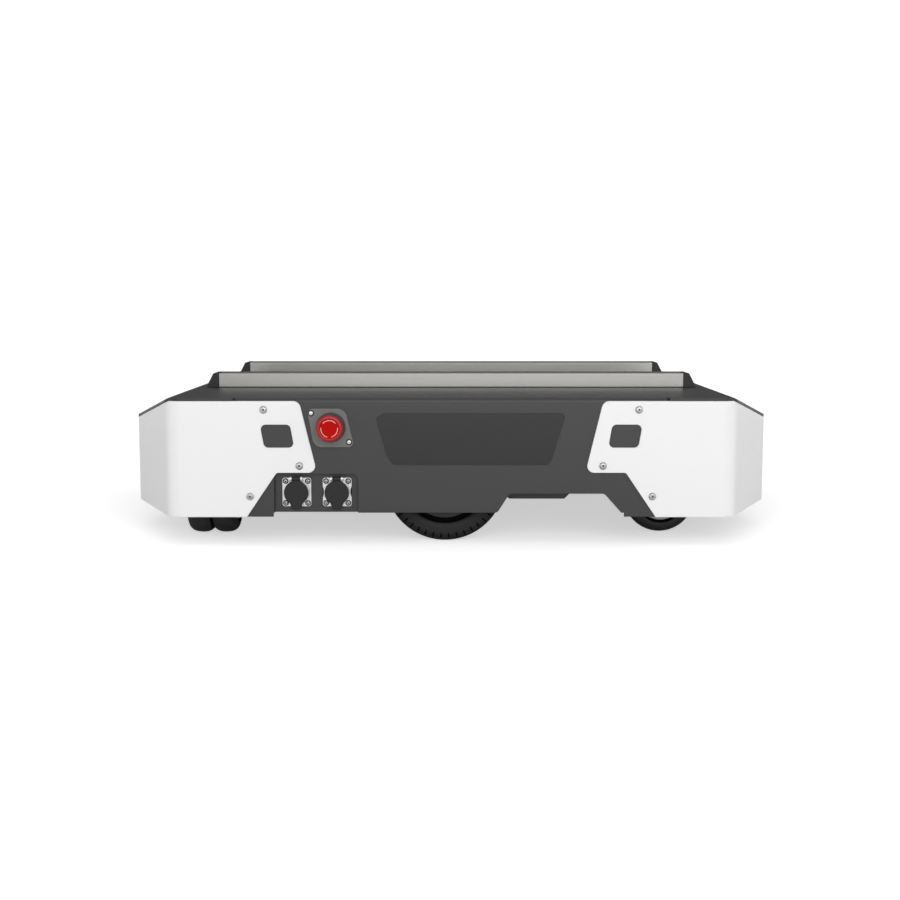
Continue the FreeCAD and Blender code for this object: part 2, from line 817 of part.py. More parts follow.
def caster_fork():
    """Pressed fork with its kingpin, and the axle bolt through both legs."""
    twin_half = caster_wheel_w + caster_twin_gap / 2
    leg_in = twin_half + fork_leg_play
    leg_out = leg_in + fork_leg_t
    boss_top = caster_plate_z - caster_plate_t - caster_race_h - gap
    crown_z = fork_top_z - fork_crown_t
    cheek_z = fork_top_z - fork_cheek_h
    fork = block(-fork_crown_back, fork_crown_front, -leg_out, leg_out, crown_z, fork_top_z)
    fork = fork.fuse(rod(V(0, 0, fork_top_z), V(0, 0, boss_top), fork_boss_r))
    fork = fork.fuse(rod(V(0, 0, fork_top_z), V(0, 0, caster_plate_z - kingpin_end), kingpin_r))
    bolt_end = leg_out + bolt_head_h
    bolt = rod(V(caster_trail, -bolt_end, caster_z), V(caster_trail, bolt_end, caster_z), caster_axle_r)
    for side in (-1, 1):
        y0, y1 = side * leg_in, side * leg_out
        leg = belt(caster_trail, caster_z, fork_toe_r, fork_knee_x, cheek_z, fork_knee_r, y0, y1)
        cheek = block(-fork_cheek_back, fork_cheek_front, y0, y1, cheek_z, fork_top_z)
        hole = V(caster_trail, y0 - side * over, caster_z), V(caster_trail, y1 + side * over, caster_z)
        fork = fork.fuse([leg, cheek]).cut(rod(*hole, caster_axle_r))
        head = V(caster_trail, y1, caster_z), V(caster_trail, side * bolt_end, caster_z)
        bolt = bolt.fuse(rod(*head, caster_axle_r + bolt_head_rim))
    return fork.removeSplitter(), bolt.removeSplitter()


def caster_wheel(side):
    """One of the twin wheels: a crowned tread moulded on its hub, grooved on the outer face."""
    inner = caster_twin_gap / 2
    outer = inner + caster_wheel_w
    hub_end = outer + caster_cap_rise
    bore = caster_axle_r + running
    crown = inner + caster_inner_run
    profile = [
        (bore, gap),
        (caster_boss_r, gap),
        (caster_groove_r, inner),
        (caster_r - caster_inner_drop, inner),
        (caster_r, crown),
        (caster_r, crown + caster_crown_w),
        (caster_r - caster_shoulder_drop, outer - caster_shoulder),
        (caster_groove_r, outer),
        (caster_groove_r, outer - caster_groove_depth),
        (caster_hub_r, outer - caster_groove_depth),
        (caster_hub_r, outer),
        (caster_boss_r, hub_end),
        (bore, hub_end),
    ]
    return spin([(r, side * y) for r, y in profile], caster_trail, caster_z)


# ---------------------------------------------------------------- drive modules


def drive_tyre():
    """Right tyre with flat flanks and rounded shoulders."""
    middle = -tyre_y + tyre_w / 2
    half_profile = [
        (tyre_bead_r, tyre_w / 2 - tyre_flank_in),
        (tyre_flank_r, tyre_w / 2),
        (tyre_r - tyre_shoulder_h, tyre_w / 2 - tyre_shoulder_in),
        (tyre_r, tyre_w / 2 - tyre_crown_in),
    ]
    outer = [(r, middle - y) for r, y in half_profile]
    inner = [(r, middle + y) for r, y in reversed(half_profile)]
    return spin(outer + inner, axle_x, axle_z)


def drive_rim():
    """Right rim with a ring groove round its outer face, and its axle with the nut."""
    face = -tyre_y + tyre_flank_in
    disc_back = face + rim_disc_t
    barrel_in = -tyre_inner_y - rim_lip_in
    hub_back = -arm_y1 - motor_nose_stand - gap
    nut_seat = face + nut_pocket
    profile = [
        (axle_r, nut_seat),
        (rim_hub_r + nut_pocket_rim, nut_seat),
        (rim_hub_r + nut_pocket_rim, face),
        (rim_face_r, face),
        (rim_face_r, face + rim_groove),
        (tyre_bead_r, face + rim_groove),
        (tyre_bead_r, barrel_in),
        (tyre_bead_r - rim_barrel_t, barrel_in),
        (tyre_bead_r - rim_barrel_t, disc_back),
        (rim_hub_r, disc_back),
        (rim_hub_r, hub_back),
        (axle_r, hub_back),
    ]
    rim = spin(profile, axle_x, axle_z)
    nut_face = nut_seat - nut_t
    axle = rod(V(axle_x, nut_face - axle_end, axle_z), V(axle_x, -arm_y0 + axle_reach, axle_z), axle_r)
    nut = rod(V(axle_x, nut_face, axle_z), V(axle_x, nut_seat, axle_z), axle_r + nut_rim)
    return rim, axle.fuse(nut).removeSplitter()


def gearmotor():
    """Right gearmotor: gearbox with its nose through the arm, motor can and encoder cap."""
    seat = -arm_y0
    nose = -arm_y1 - motor_nose_stand
    can = seat + motor_gear_l
    tail = can + motor_can_l
    end = tail + motor_tail_l
    bore_end = seat + axle_reach + motor_play
    shaft_r = axle_r + running
    profile = [
        (0, bore_end),
        (shaft_r, bore_end),
        (shaft_r, nose),
        (motor_nose_r - running, nose),
        (motor_nose_r - running, seat),
        (motor_gear_r, seat),
        (motor_gear_r, can),
        (motor_can_r, can),
        (motor_can_r, tail),
        (motor_tail_r, tail),
        (motor_tail_r, end),
        (0, end),
    ]
    return spin(profile, axle_x, axle_z)


def swing_arm():
    """Right arm: plate from the pivot to the motor flange, pivot tube and spring seat."""
    plate = belt(pivot_x, pivot_z, pivot_boss_r, axle_x, axle_z, arm_flange_r, -arm_y1, -arm_y0)
    tube_out = -ear_outer_y + ear_t + gap
    tube_in = -pan_half_y - ear_t - gap
    tube = rod(V(pivot_x, tube_out, pivot_z), V(pivot_x, tube_in, pivot_z), pivot_boss_r)
    y0, y1 = spring_span()
    x0, x1 = spring_x - spring_r - spring_play, spring_x + spring_r + spring_play
    seat_under = spring_seat_z - spring_seat_t
    seat = block(x0, x1, y0, y1, seat_under, spring_seat_z)
    web = block(x0, x1, -arm_y1, -arm_y0, pivot_z, seat_under)
    stud_r = spring_bore_r - gap
    spring_y = (y0 + y1) / 2
    stud_top = spring_seat_z + spring_stud_h
    stud = rod(V(spring_x, spring_y, spring_seat_z), V(spring_x, spring_y, stud_top), stud_r)
    arm = fuse(plate, tube, seat, web, stud)
    pivot_hole = V(pivot_x, tube_out - over, pivot_z), V(pivot_x, tube_in + over, pivot_z)
    motor_hole = V(axle_x, -arm_y1 - over, axle_z), V(axle_x, -arm_y0 + over, axle_z)
    return arm.cut(rod(*pivot_hole, pivot_pin_r + running)).cut(rod(*motor_hole, motor_nose_r))


def spring_span():
    """Room for the spring between the tyre and the bracket's inner ear."""
    return -tyre_inner_y + spring_play, -pan_half_y - ear_t - spring_play


def rubber_spring():
    """Convoluted rubber spring between the arm's seat and the bracket's shelf."""
    y0, y1 = spring_span()
    low, top = spring_seat_z, bracket_top_z - ear_t
    waist = spring_r - spring_groove
    lobe = (top - low) / spring_lobes
    profile = [V(spring_bore_r, 0, low), V(spring_bore_r, 0, top)]
    for i in range(spring_lobes, 0, -1):
        upper, lower = low + i * lobe, low + (i - 1) * lobe
        crest = V(spring_r, 0, upper - lobe * 0.3), V(spring_r, 0, lower + lobe * 0.3)
        profile += [V(waist, 0, upper), *crest]
    profile.append(V(waist, 0, low))
    face = Part.Face(Part.makePolygon(profile + profile[:1]))
    spring = face.revolve(V(0, 0, 0), V(0, 0, 1), 360)
    return spring.translated(V(spring_x, (y0 + y1) / 2, 0))


def suspension_bracket():
    """Right clevis on the pan's wall, with the shelf that holds the spring down."""
    inner_y0, inner_y1 = -pan_half_y - ear_t, -pan_half_y
    shelf_z = bracket_top_z - ear_t
    y_out = -ear_outer_y
    ear_r = ear_t / 2
    outer_ear = [
        (ear_x0, ear_bottom_z, ear_r),
        (ear_x1, ear_bottom_z, 0.0),
        (ear_x1 + ear_toe, ear_bottom_z + ear_toe, ear_r),
        (ear_x1 + ear_toe, ear_top_z, ear_t),
        (ear_x0, ear_top_z, pivot_boss_r),
    ]
    shelf_x = spring_x - spring_r - shelf_overhang
    flare = ear_x0 - shelf_x
    inner_ear = [
        (ear_x0, ear_bottom_z, ear_r),
        (ear_x1, ear_bottom_z, 0.0),
        (ear_x1, bracket_top_z, 0.0),
        (shelf_x, bracket_top_z, 0.0),
        (shelf_x, shelf_z - ear_t, ear_r),
        (ear_x0, shelf_z - ear_t - flare, ear_t),
    ]
    y_shelf = spring_span()[0]
    web = block(ear_x1 - ear_t, ear_x1, y_out, inner_y1, ear_bottom_z, ear_top_z)
    neck = block(ear_x1 - ear_t, ear_x1, y_shelf, inner_y1, ear_top_z, bracket_top_z)
    shelf = block(shelf_x, ear_x1, y_shelf, inner_y1, shelf_z, bracket_top_z)
    ears = prism_y(outer_ear, y_out, y_out + ear_t), prism_y(inner_ear, inner_y0, inner_y1)
    bracket = fuse(*ears, web, neck, shelf)
    hole = rod(V(pivot_x, y_out - over, pivot_z), V(pivot_x, inner_y1 + over, pivot_z), pivot_pin_r)
    pin = rod(V(pivot_x, y_out, pivot_z), V(pivot_x, inner_y1 - gap, pivot_z), pivot_pin_r)
    head_end = y_out - pivot_pin_head
    head = rod(V(pivot_x, head_end, pivot_z), V(pivot_x, y_out, pivot_z), pivot_pin_r + pivot_pin_head)
    return bracket.cut(hole), pin.fuse(head).removeSplitter()


# ---------------------------------------------------------------- rails


def deck_rail():
    """T-slot rail along the deck, centred on y = 0."""
    half = rail_w / 2
    top = deck_z + rail_h
    inner_top = top - slot_lip_t
    s, w, r = slot_w / 2, slot_inner_w / 2, rail_edge_r
    section = [
        (-half, deck_z, r),
        (half, deck_z, r),
        (half, top, r),
        (s, top, 0.0),
        (s, inner_top, 0.0),
        (w, inner_top, 0.0),
        (w, inner_top - slot_inner_h, 0.0),
        (-w, inner_top - slot_inner_h, 0.0),
        (-w, inner_top, 0.0),
        (-s, inner_top, 0.0),
        (-s, top, 0.0),
        (-half, top, r),
    ]
    return prism_x(section, -rail_length / 2, rail_length / 2)


def rail_cap():
    """Wedge that closes the front end of a rail, centred on y = 0."""
    x0 = rail_length / 2
    top = deck_z + rail_h
    profile = [
        (x0, deck_z, 0.0),
        (x0 + cap_base, deck_z, 0.0),
        (x0 + cap_straight, top, cap_edge_r),
        (x0, top, 0.0),
    ]
    return prism_y(profile, -rail_w / 2, rail_w / 2)


# ---------------------------------------------------------------- emergency stops


def estop_plate():
    corners = [(estop_x + x, estop_z + z, r) for x, z, r in estop_plate_outline]
    plate = prism_y(corners, -wall_y - estop_plate_t, -wall_y)
    hole = V(estop_x, -wall_y - estop_plate_t - over, estop_z), V(estop_x, -wall_y + over, estop_z)
    return plate.cut(rod(*hole, estop_barrel_r + screw_play))


def estop_base():
    """Collar outside the plate, barrel through the wall and contact block behind it."""
    seat = -wall_y - estop_plate_t
    lip = seat - estop_collar_h
    back = -wall_y + estop_barrel_l
    half = estop_contact / 2
    contact_y = back - estop_plate_t
    contact_z = estop_z - estop_contact_drop
    collar = rod(V(estop_x, lip, estop_z), V(estop_x, seat, estop_z), estop_collar_r)
    barrel = rod(V(estop_x, seat, estop_z), V(estop_x, back, estop_z), estop_barrel_r)
    x0, x1 = estop_x - half, estop_x + half
    contact = block(x0, x1, contact_y, contact_y + estop_contact_l, contact_z, estop_z + estop_contact_drop)
    bore = V(estop_x, lip - over, estop_z), V(estop_x, -wall_y + estop_bore_l, estop_z)
    return fuse(collar, barrel, contact).cut(rod(*bore, estop_stem_r + running))


def estop_stem():
    """Stem that slides in the barrel."""
    y_in = -wall_y + estop_bore_l - estop_travel - over
    y_out = estop_head_base()
    stem = rod(V(estop_x, y_out, estop_z), V(estop_x, y_in, estop_z), estop_stem_r)
    spigot = V(estop_x, y_out - estop_spigot_l, estop_z), V(estop_x, y_out, estop_z)
    return stem.fuse(rod(*spigot, estop_spigot_r)).removeSplitter()


def estop_head_base():
    """Underside of the right mushroom head, far enough from the collar for its travel."""
    return -wall_y - estop_plate_t - estop_collar_h - estop_travel - over


def estop_head():
    """Mushroom head that turns on the stem's spigot."""
    base = estop_head_base()
    face = base - estop_head_l
    socket_end = base - estop_spigot_l - gap
    spigot_r = estop_spigot_r + running
    profile = [
        (0, socket_end),
        (spigot_r, socket_end),
        (spigot_r, base),
        (estop_head_r, base),
        (estop_head_r, base - estop_head_skirt),
        (estop_head_r * 0.9, face + estop_head_dome),
        (estop_head_r * 0.7, face),
        (0, face),
    ]
    return spin(profile, estop_x, estop_z)


# ---------------------------------------------------------------- connectors


def connector_plate():
    """Recessed plate behind the side wall that carries the two sockets."""
    front = socket_seat_y()
    back = front + cover_t
    x0, x1, z1 = recess_x0 - recess_rim, recess_x1 + recess_rim, recess_z1 + recess_rim
    tray = block(x0, x1, -wall_in_y, back, sill_z, z1)
    tray = tray.cut(block(recess_x0, recess_x1, -wall_in_y, front, sill_z, recess_z1))
    for x in (charge_x, comm_x):
        hole = V(x, front - over, socket_z), V(x, back + over, socket_z)
        tray = tray.cut(rod(*hole, socket_barrel_r + screw_play))
    for hole in cover_holes(side_only=True):
        tray = tray.cut(to_front(hole, -1))
    return tray


def socket_seat_y():
    """Face of the connector plate, where the sockets' flanges sit."""
    return -wall_y + recess_depth


def lid_back_y():
    """Back face of a closed lid, just in front of its socket's collar."""
    return socket_seat_y() - socket_collar_h - gap


def round_socket(x, scallop):
    """Panel socket with a square flange and the lugs of its lid hinge; scallop trims the flange's sides."""
    front = socket_seat_y()
    face = front - socket_flange_t
    s, r = socket_flange / 2, socket_flange_r
    z0, z1 = socket_z - s, socket_z + s
    flange = prism_y([(x - s, z0, r), (x + s, z0, r), (x + s, z1, r), (x - s, z1, r)], face, front)
    reach = s + scallop_out
    for dx, dz in ((-1, 0), (1, 0), (0, -1)) if scallop else ():
        centre = V(x + dx * reach, face - over, socket_z + dz * reach)
        flange = flange.cut(rod(centre, centre + V(0, socket_flange_t + 2 * over, 0), scallop_r))
    collar = rod(V(x, front - socket_collar_h, socket_z), V(x, front, socket_z), socket_collar_r)
    barrel = rod(V(x, front, socket_z), V(x, front + socket_back, socket_z), socket_barrel_r)
    body = fuse(flange, collar, barrel)
    hinge_y = lid_back_y() - lid_t / 2
    hinge_z = socket_z + lid_hinge_h
    pin_half = lid_hinge_w / 2 + gap + lid_lug_w
    for side in (-1, 1):
        x0, x1 = x + side * (pin_half - lid_lug_w), x + side * pin_half
        lug = block(x0, x1, hinge_y, face, hinge_z - lid_knuckle_r, hinge_z)
        eye = rod(V(x0, hinge_y, hinge_z), V(x1, hinge_y, hinge_z), lid_knuckle_r)
        body = body.fuse([lug, eye])
    body = body.fuse(rod(V(x - pin_half, hinge_y, hinge_z), V(x + pin_half, hinge_y, hinge_z), lid_pin_r))
    mouth = V(x, front - socket_collar_h, socket_z)
    return body.cut(rod(mouth, mouth + V(0, socket_depth, 0), socket_bore_r)).removeSplitter()


def socket_lid(x):
    """Round flip lid with a hinge knuckle at its top and a thumb tongue at its foot."""
    y_back = lid_back_y()
    y_face = y_back - lid_t
    hinge_y = y_back - lid_t / 2
    hinge_z = socket_z + lid_hinge_h
    half = lid_hinge_w / 2
    disc = rod(V(x, y_face, socket_z), V(x, y_back, socket_z), lid_r)
    arm = block(x - half, x + half, y_face, y_back, socket_z, hinge_z)
    knuckle = rod(V(x - half, hinge_y, hinge_z), V(x + half, hinge_y, hinge_z), lid_knuckle_r)
    root = socket_z - lid_r + lid_tongue_root
    foot = socket_z - lid_r - lid_tongue_l
    tongue = [
        (x - lid_tongue_w / 2, root, 0.0),
        (x - lid_tongue_tip / 2, foot, lid_knuckle_r),
        (x + lid_tongue_tip / 2, foot, lid_knuckle_r),
        (x + lid_tongue_w / 2, root, 0.0),
    ]
    lid = fuse(disc, arm, knuckle, prism_y(tongue, y_face, y_back))
    pin_hole = V(x - half - over, hinge_y, hinge_z), V(x + half + over, hinge_y, hinge_z)
    return lid.cut(rod(*pin_hole, lid_pin_r + running))


# ---------------------------------------------------------------- small panels and inner units


def badge_plate():
    """Bare panel in the middle of the right side wall."""
    corners = [(x, deck_z - drop, r) for x, drop, r in badge_outline]
    return prism_y(corners, -wall_y - badge_t, -wall_y)


def power_bezel():
    """Ring and barrel of the power switch in the rear panel."""
    seat = -end_face_x
    ring = rod(V(seat - power_ring_t, power_y, power_z), V(seat, power_y, power_z), power_ring_r)
    barrel = rod(V(seat, power_y, power_z), V(seat + power_barrel_l, power_y, power_z), power_barrel_r)
    bore = V(seat - power_ring_t - over, power_y, power_z), V(seat + power_bore_l, power_y, power_z)
    return fuse(ring, barrel).cut(rod(*bore, power_button_r + running))


def power_button():
    seat = -end_face_x
    outer = seat - power_ring_t - power_travel - power_stand
    inner = seat + power_bore_l - power_travel - over
    return rod(V(outer, power_y, power_z), V(inner, power_y, power_z), power_button_r)


def battery_pack():
    """Sealed pack with a lid seam and a terminal block on top."""
    z0, z1 = pan_floor_z, pan_floor_z + battery_h
    body = block(battery_x0, battery_x1, -battery_half_y, battery_half_y, z0, z1)
    upright = [e for e in body.Edges if abs(e.tangentAt(e.FirstParameter).z) > 0.9]
    body = body.makeFillet(battery_edge_r, upright)
    seam_z = z0 + battery_h * battery_seam_share
    x0, x1, y1 = battery_x0, battery_x1, battery_half_y
    seam = block(x0 - over, x1 + over, -y1 - over, y1 + over, seam_z, seam_z + battery_seam)
    core = block(x0 + battery_seam, x1 - battery_seam, -y1 + battery_seam, y1 - battery_seam, z0, z1)
    tx1 = x1 - terminal_h
    tx0, ty = tx1 - terminal_l, terminal_w / 2
    terminals = block(tx0, tx1, -ty, ty, z1, z1 + terminal_h)
    return fuse(body.cut(seam.cut(core)), terminals)


def control_units():
    """Main controller between two finned motor drivers."""
    z0 = pan_floor_z
    z1 = z0 + board_h
    main = block(board_x0, board_x1, -board_half_y, board_half_y, z0, z1)
    plug_x, plug_y = board_x1 - board_plug_back, board_half_y - board_plug_in
    plugs = block(plug_x - board_plug_l, plug_x, -plug_y, plug_y, z1, z1 + board_plug_h)
    units = [fuse(main, plugs)]
    y0, y1 = board_half_y + driver_gap, battery_half_y
    driver_x0, driver_z1 = board_x0 + driver_set_back, z0 + driver_h
    fin_count = int((y1 - y0 - 2 * fin_edge) / fin_pitch) + 1
    for side in SIDES.values():
        driver = block(driver_x0, board_x1, side * y0, side * y1, z0, driver_z1)
        fins = []
        for i in range(fin_count):
            fin_y = side * (y0 + fin_edge + i * fin_pitch)
            x0, x1 = driver_x0 + fin_edge, board_x1 - fin_edge
            fins.append(block(x0, x1, fin_y, fin_y + side * fin_t, driver_z1, driver_z1 + fin_h))
        units.append(fuse(driver, *fins))
    return units


# ---------------------------------------------------------------- build


def cover_screw_set():
    screws = []
    for end, side in CORNERS.values():
        for x, z in cover_screws_xz:
            piece = screw(V(x, -half_w, z), V(0, 1, 0), m4_head_r, m4_head_h, m4_shank_r, m4_length)
            screws.append(to_front(on_side(piece, side), end))
        for y, z in wrap_screws_yz:
            piece = screw(V(half_l, -y, z), V(-1, 0, 0), m4_head_r, m4_head_h, m4_shank_r, m4_length)
            screws.append(to_front(on_side(piece, side), end))
    return screws


def build():
    os.makedirs("parts", exist_ok=True)
    save("top_cover", top_cover())
    save("base_pan", base_pan())
    save("cover_screws", *cover_screw_set())
    save("badge_plate", badge_plate())
    save("connector_plate", connector_plate())
    save("charge_socket", round_socket(charge_x, False))
    save("comm_socket", round_socket(comm_x, True))
    save("charge_lid", socket_lid(charge_x))
    save("comm_lid", socket_lid(comm_x))
    save("front_light_lens", front_light_lens())
    save("power_bezel", power_bezel())
    save("power_button", power_button())
    save("battery_pack", battery_pack())
    save("control_units", *control_units())
    for name, end in (("front", 1), ("rear", -1)):
        save("end_panel_" + name, end_panel(end))
        save("caster_carrier_" + name, caster_carrier(end))
    cover = corner_cover()
    for name, (end, side) in CORNERS.items():
        save("corner_cover_" + name, to_front(on_side(cover, side), end))
    caps = []
    rail, cap = deck_rail(), rail_cap()
    for name, side in SIDES.items():
        shift = V(0, side * rail_y, 0)
        save("rail_" + name, rail.translated(shift))
        caps += [to_front(cap, end).translated(shift) for end in (1, -1)]
        bracket, pin = suspension_bracket()
        save("suspension_bracket_" + name, on_side(bracket, side), on_side(pin, side))
        save("rubber_spring_" + name, on_side(rubber_spring(), side))
        save("swing_arm_" + name, on_side(swing_arm(), side))
        save("gearmotor_" + name, on_side(gearmotor(), side))
        save("drive_tyre_" + name, on_side(drive_tyre(), side))
        save("drive_rim_" + name, *[on_side(piece, side) for piece in drive_rim()])
        save("estop_plate_" + name, on_side(estop_plate(), side))
        save("estop_base_" + name, on_side(estop_base(), side))
        save("estop_stem_" + name, on_side(estop_stem(), side))
        save("estop_head_" + name, on_side(estop_head(), side))
    save("rail_end_caps", *caps)
    top_plate, fork = caster_top_plate(), caster_fork()
    places = caster_places()
    save("caster_top_plates", *[placed(top_plate, spot, 0.0) for spot, _ in places.values()])
    for name, (spot, trail) in places.items():
        save("caster_fork_" + name, *[placed(piece, spot, trail) for piece in fork])
        for letter, side in (("a", -1), ("b", 1)):
            save("caster_wheel_%s_%s" % (name, letter), placed(caster_wheel(side), spot, trail))


build()
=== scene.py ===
"""Looks of a low autonomous mobile robot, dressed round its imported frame."""

from __future__ import annotations

import json
import logging
import math
from collections.abc import Callable
from dataclasses import dataclass, field
from enum import Enum

import bmesh
import bpy
from bmesh.types import BMesh, BMFace, BMVert
from bpy.types import Material, Mesh, Node, NodeSocket, NodeTree, Object
from mathutils import Matrix, Vector

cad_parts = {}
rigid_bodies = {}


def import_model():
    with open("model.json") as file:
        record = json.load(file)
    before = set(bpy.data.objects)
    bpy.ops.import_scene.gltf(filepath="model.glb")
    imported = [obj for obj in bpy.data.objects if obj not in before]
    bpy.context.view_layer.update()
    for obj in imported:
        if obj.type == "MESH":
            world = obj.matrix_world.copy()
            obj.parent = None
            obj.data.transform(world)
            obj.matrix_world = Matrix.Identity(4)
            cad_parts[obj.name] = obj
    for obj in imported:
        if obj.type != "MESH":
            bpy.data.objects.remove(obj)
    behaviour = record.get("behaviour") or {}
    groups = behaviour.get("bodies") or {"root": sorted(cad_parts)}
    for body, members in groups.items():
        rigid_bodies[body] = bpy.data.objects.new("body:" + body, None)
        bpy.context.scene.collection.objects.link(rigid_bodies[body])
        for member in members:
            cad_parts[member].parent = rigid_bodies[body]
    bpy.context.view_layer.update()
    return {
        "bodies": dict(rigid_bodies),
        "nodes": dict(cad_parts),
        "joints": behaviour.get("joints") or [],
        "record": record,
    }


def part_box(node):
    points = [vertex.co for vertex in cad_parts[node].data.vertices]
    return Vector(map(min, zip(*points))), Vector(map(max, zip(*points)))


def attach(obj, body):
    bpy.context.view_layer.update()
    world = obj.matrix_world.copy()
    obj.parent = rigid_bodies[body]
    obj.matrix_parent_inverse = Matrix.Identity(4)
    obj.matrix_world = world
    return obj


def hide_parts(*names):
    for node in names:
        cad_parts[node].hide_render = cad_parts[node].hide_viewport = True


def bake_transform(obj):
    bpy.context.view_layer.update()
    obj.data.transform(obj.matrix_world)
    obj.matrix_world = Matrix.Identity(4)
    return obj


Ring = list[BMVert]
Profile = list[tuple[float, float]]
Values = dict[str | int, object]
Box = tuple[Vector, Vector]
Triple = tuple[float, float, float]

LOG = logging.getLogger("robot")
MM = 0.001
CORNERS = ("front_right", "front_left", "rear_right", "rear_left")
SIDES = {"right": -1.0, "left": 1.0}
TWINS = ("a", "b")
X_AXIS, Y_AXIS, Z_AXIS = Vector((1, 0, 0)), Vector((0, 1, 0)), Vector((0, 0, 1))
WELD = 2e-6  # vertices closer than this become one
POINT = 1e-7  # a ring with a smaller radius is one vertex
SKIN = 0.1 * MM  # a face closer than this to the front lies in it
BEND_STEPS = 3  # faces round a softened corner of a lathed section
CONVEX_FROM, CONVEX_GAIN, CONVEX_PATCHES = 0.54, 9.0, 120.0  # edge wear: start, slope and noise scale
SHADE_FACES = "recess"  # face attribute that picks the painted-shade material
OUTWARD = "outward"  # vertex attribute that aims a repeated piece
BUMP_DEPTH = 0.2 * MM
NEUTRAL = (0.5, 0.5, 0.5, 1.0)
WHITE = (1.0, 1.0, 1.0, 1.0)
MIX_A, MIX_B, MIX_RESULT = 6, 7, 2  # colour sockets of the Mix node


# ------------------------------------------------------------------ shader node groups


class Graph:
    """A node tree under construction."""

    def __init__(self, tree: NodeTree) -> None:
        """Take the tree to build in."""
        self.tree = tree

    def fill(self, node: Node, values: Values) -> None:
        """Link or set inputs of a node.

        Args:
            node: the node.
            values: input name or number to the socket it is linked to, or to its value.
        """
        for key, value in values.items():
            if isinstance(value, NodeSocket):
                self.tree.links.new(value, node.inputs[key])
            else:
                node.inputs[key].default_value = value

    def node(self, kind: str, values: Values | None = None, **settings: object) -> Node:
        """Add one node.

        Args:
            kind: Blender's name of the node.
            values: its inputs, as fill takes them.
            settings: its own properties, set before its inputs.

        Returns:
            The node.
        """
        made = self.tree.nodes.new(kind)
        for key, value in settings.items():
            setattr(made, key, value)
        self.fill(made, values or {})
        return made

    def result(self, kind: str, values: Values | None = None, **settings: object) -> NodeSocket:
        """Add one node and return its first output."""
        return self.node(kind, values, **settings).outputs[0]

    def calc(self, operation: str, first: object, second: object) -> NodeSocket:
        """Add a Math node on two sockets or numbers and return its result."""
        return self.result("ShaderNodeMath", {0: first, 1: second}, operation=operation)


class Socket(Enum):
    """Kinds of shader group sockets."""

    VALUE = "NodeSocketFloat"
    COLOUR = "NodeSocketColor"


class ShaderGroup(Graph):
    """A shader node group under construction."""

    def __init__(self, name: str, inputs: dict[str, object], outputs: dict[str, Socket]) -> None:
        """Make the group and its sockets.

        Args:
            name: name of the group.
            inputs: socket name to its default; a tuple makes a colour socket, a number a value socket.
            outputs: socket name to its kind.
        """
        super().__init__(bpy.data.node_groups.new(name, "ShaderNodeTree"))
        for title, default in inputs.items():
            kind = Socket.COLOUR if isinstance(default, tuple) else Socket.VALUE
            made = self.tree.interface.new_socket(name=title, in_out="INPUT", socket_type=kind.value)
            made.default_value = default
        for title, kind in outputs.items():
            self.tree.interface.new_socket(name=title, in_out="OUTPUT", socket_type=kind.value)
        self.given = self.node("NodeGroupInput").outputs
        self.exit = self.node("NodeGroupOutput")


class PatternGroup(ShaderGroup):
    """A surface pattern: it varies a colour and a roughness together, and gives a height for the bump."""

    def __init__(self, name: str, roughness: float, variation: float, sizes: dict[str, float]) -> None:
        """Make the group with the inputs that every pattern has.

        Args:
            name: name of the group.
            roughness: default of its Roughness input.
            variation: default of its Variation input.
            sizes: the pattern's further inputs and their defaults.
        """
        inputs = {"Colour": NEUTRAL, "Variation": variation, **sizes, "Roughness": roughness}
        outputs = {"Colour": Socket.COLOUR, "Roughness": Socket.VALUE, "Height": Socket.VALUE}
        super().__init__(name, inputs, outputs)

    def give(self, noise: NodeSocket, middle: float, height: NodeSocket) -> NodeTree:
        """Close the group.

        Args:
            noise: what colour and roughness vary with.
            middle: the noise's middle value.
            height: what the bump follows.

        Returns:
            The finished tree.
        """
        swing = self.calc("MULTIPLY", self.calc("SUBTRACT", noise, middle), self.given["Variation"])
        scaled = {0: self.given["Colour"], "Scale": self.calc("ADD", swing, 1.0)}
        tint = self.result("ShaderNodeVectorMath", scaled, operation="SCALE")
        rough = self.calc("ADD", self.given["Roughness"], swing)
        self.fill(self.exit, {"Colour": tint, "Roughness": rough, "Height": height})
        return self.tree


def grain_group() -> NodeTree:
    """Fine coat grain, from two scales of noise.

    Returns:
        The group.
    """
    group = PatternGroup("coat grain", 0.4, 0.08, {"Grain Size": 900.0, "Patch Size": 14.0})
    place = group.node("ShaderNodeTexCoord").outputs["Object"]
    fine, broad = (
        group.result("ShaderNodeTexNoise", {"Vector": place, "Scale": group.given[size], "Detail": detail})
        for size, detail in (("Grain Size", 3.0), ("Patch Size", 4.0))
    )
    return group.give(group.calc("ADD", fine, broad), 1.0, fine)


def brushed_group() -> NodeTree:
    """Straight brush lines along X.

    Returns:
        The group.
    """
    group = PatternGroup("brush lines", 0.3, 0.12, {"Line Density": 1800.0})
    place = group.node("ShaderNodeTexCoord").outputs["Object"]
    stretch = group.result("ShaderNodeMapping", {"Vector": place, "Scale": (0.004, 1.0, 1.0)})
    noise = {"Vector": stretch, "Scale": group.given["Line Density"], "Detail": 4.0}
    lines = group.result("ShaderNodeTexNoise", noise)
    return group.give(lines, 0.5, lines)


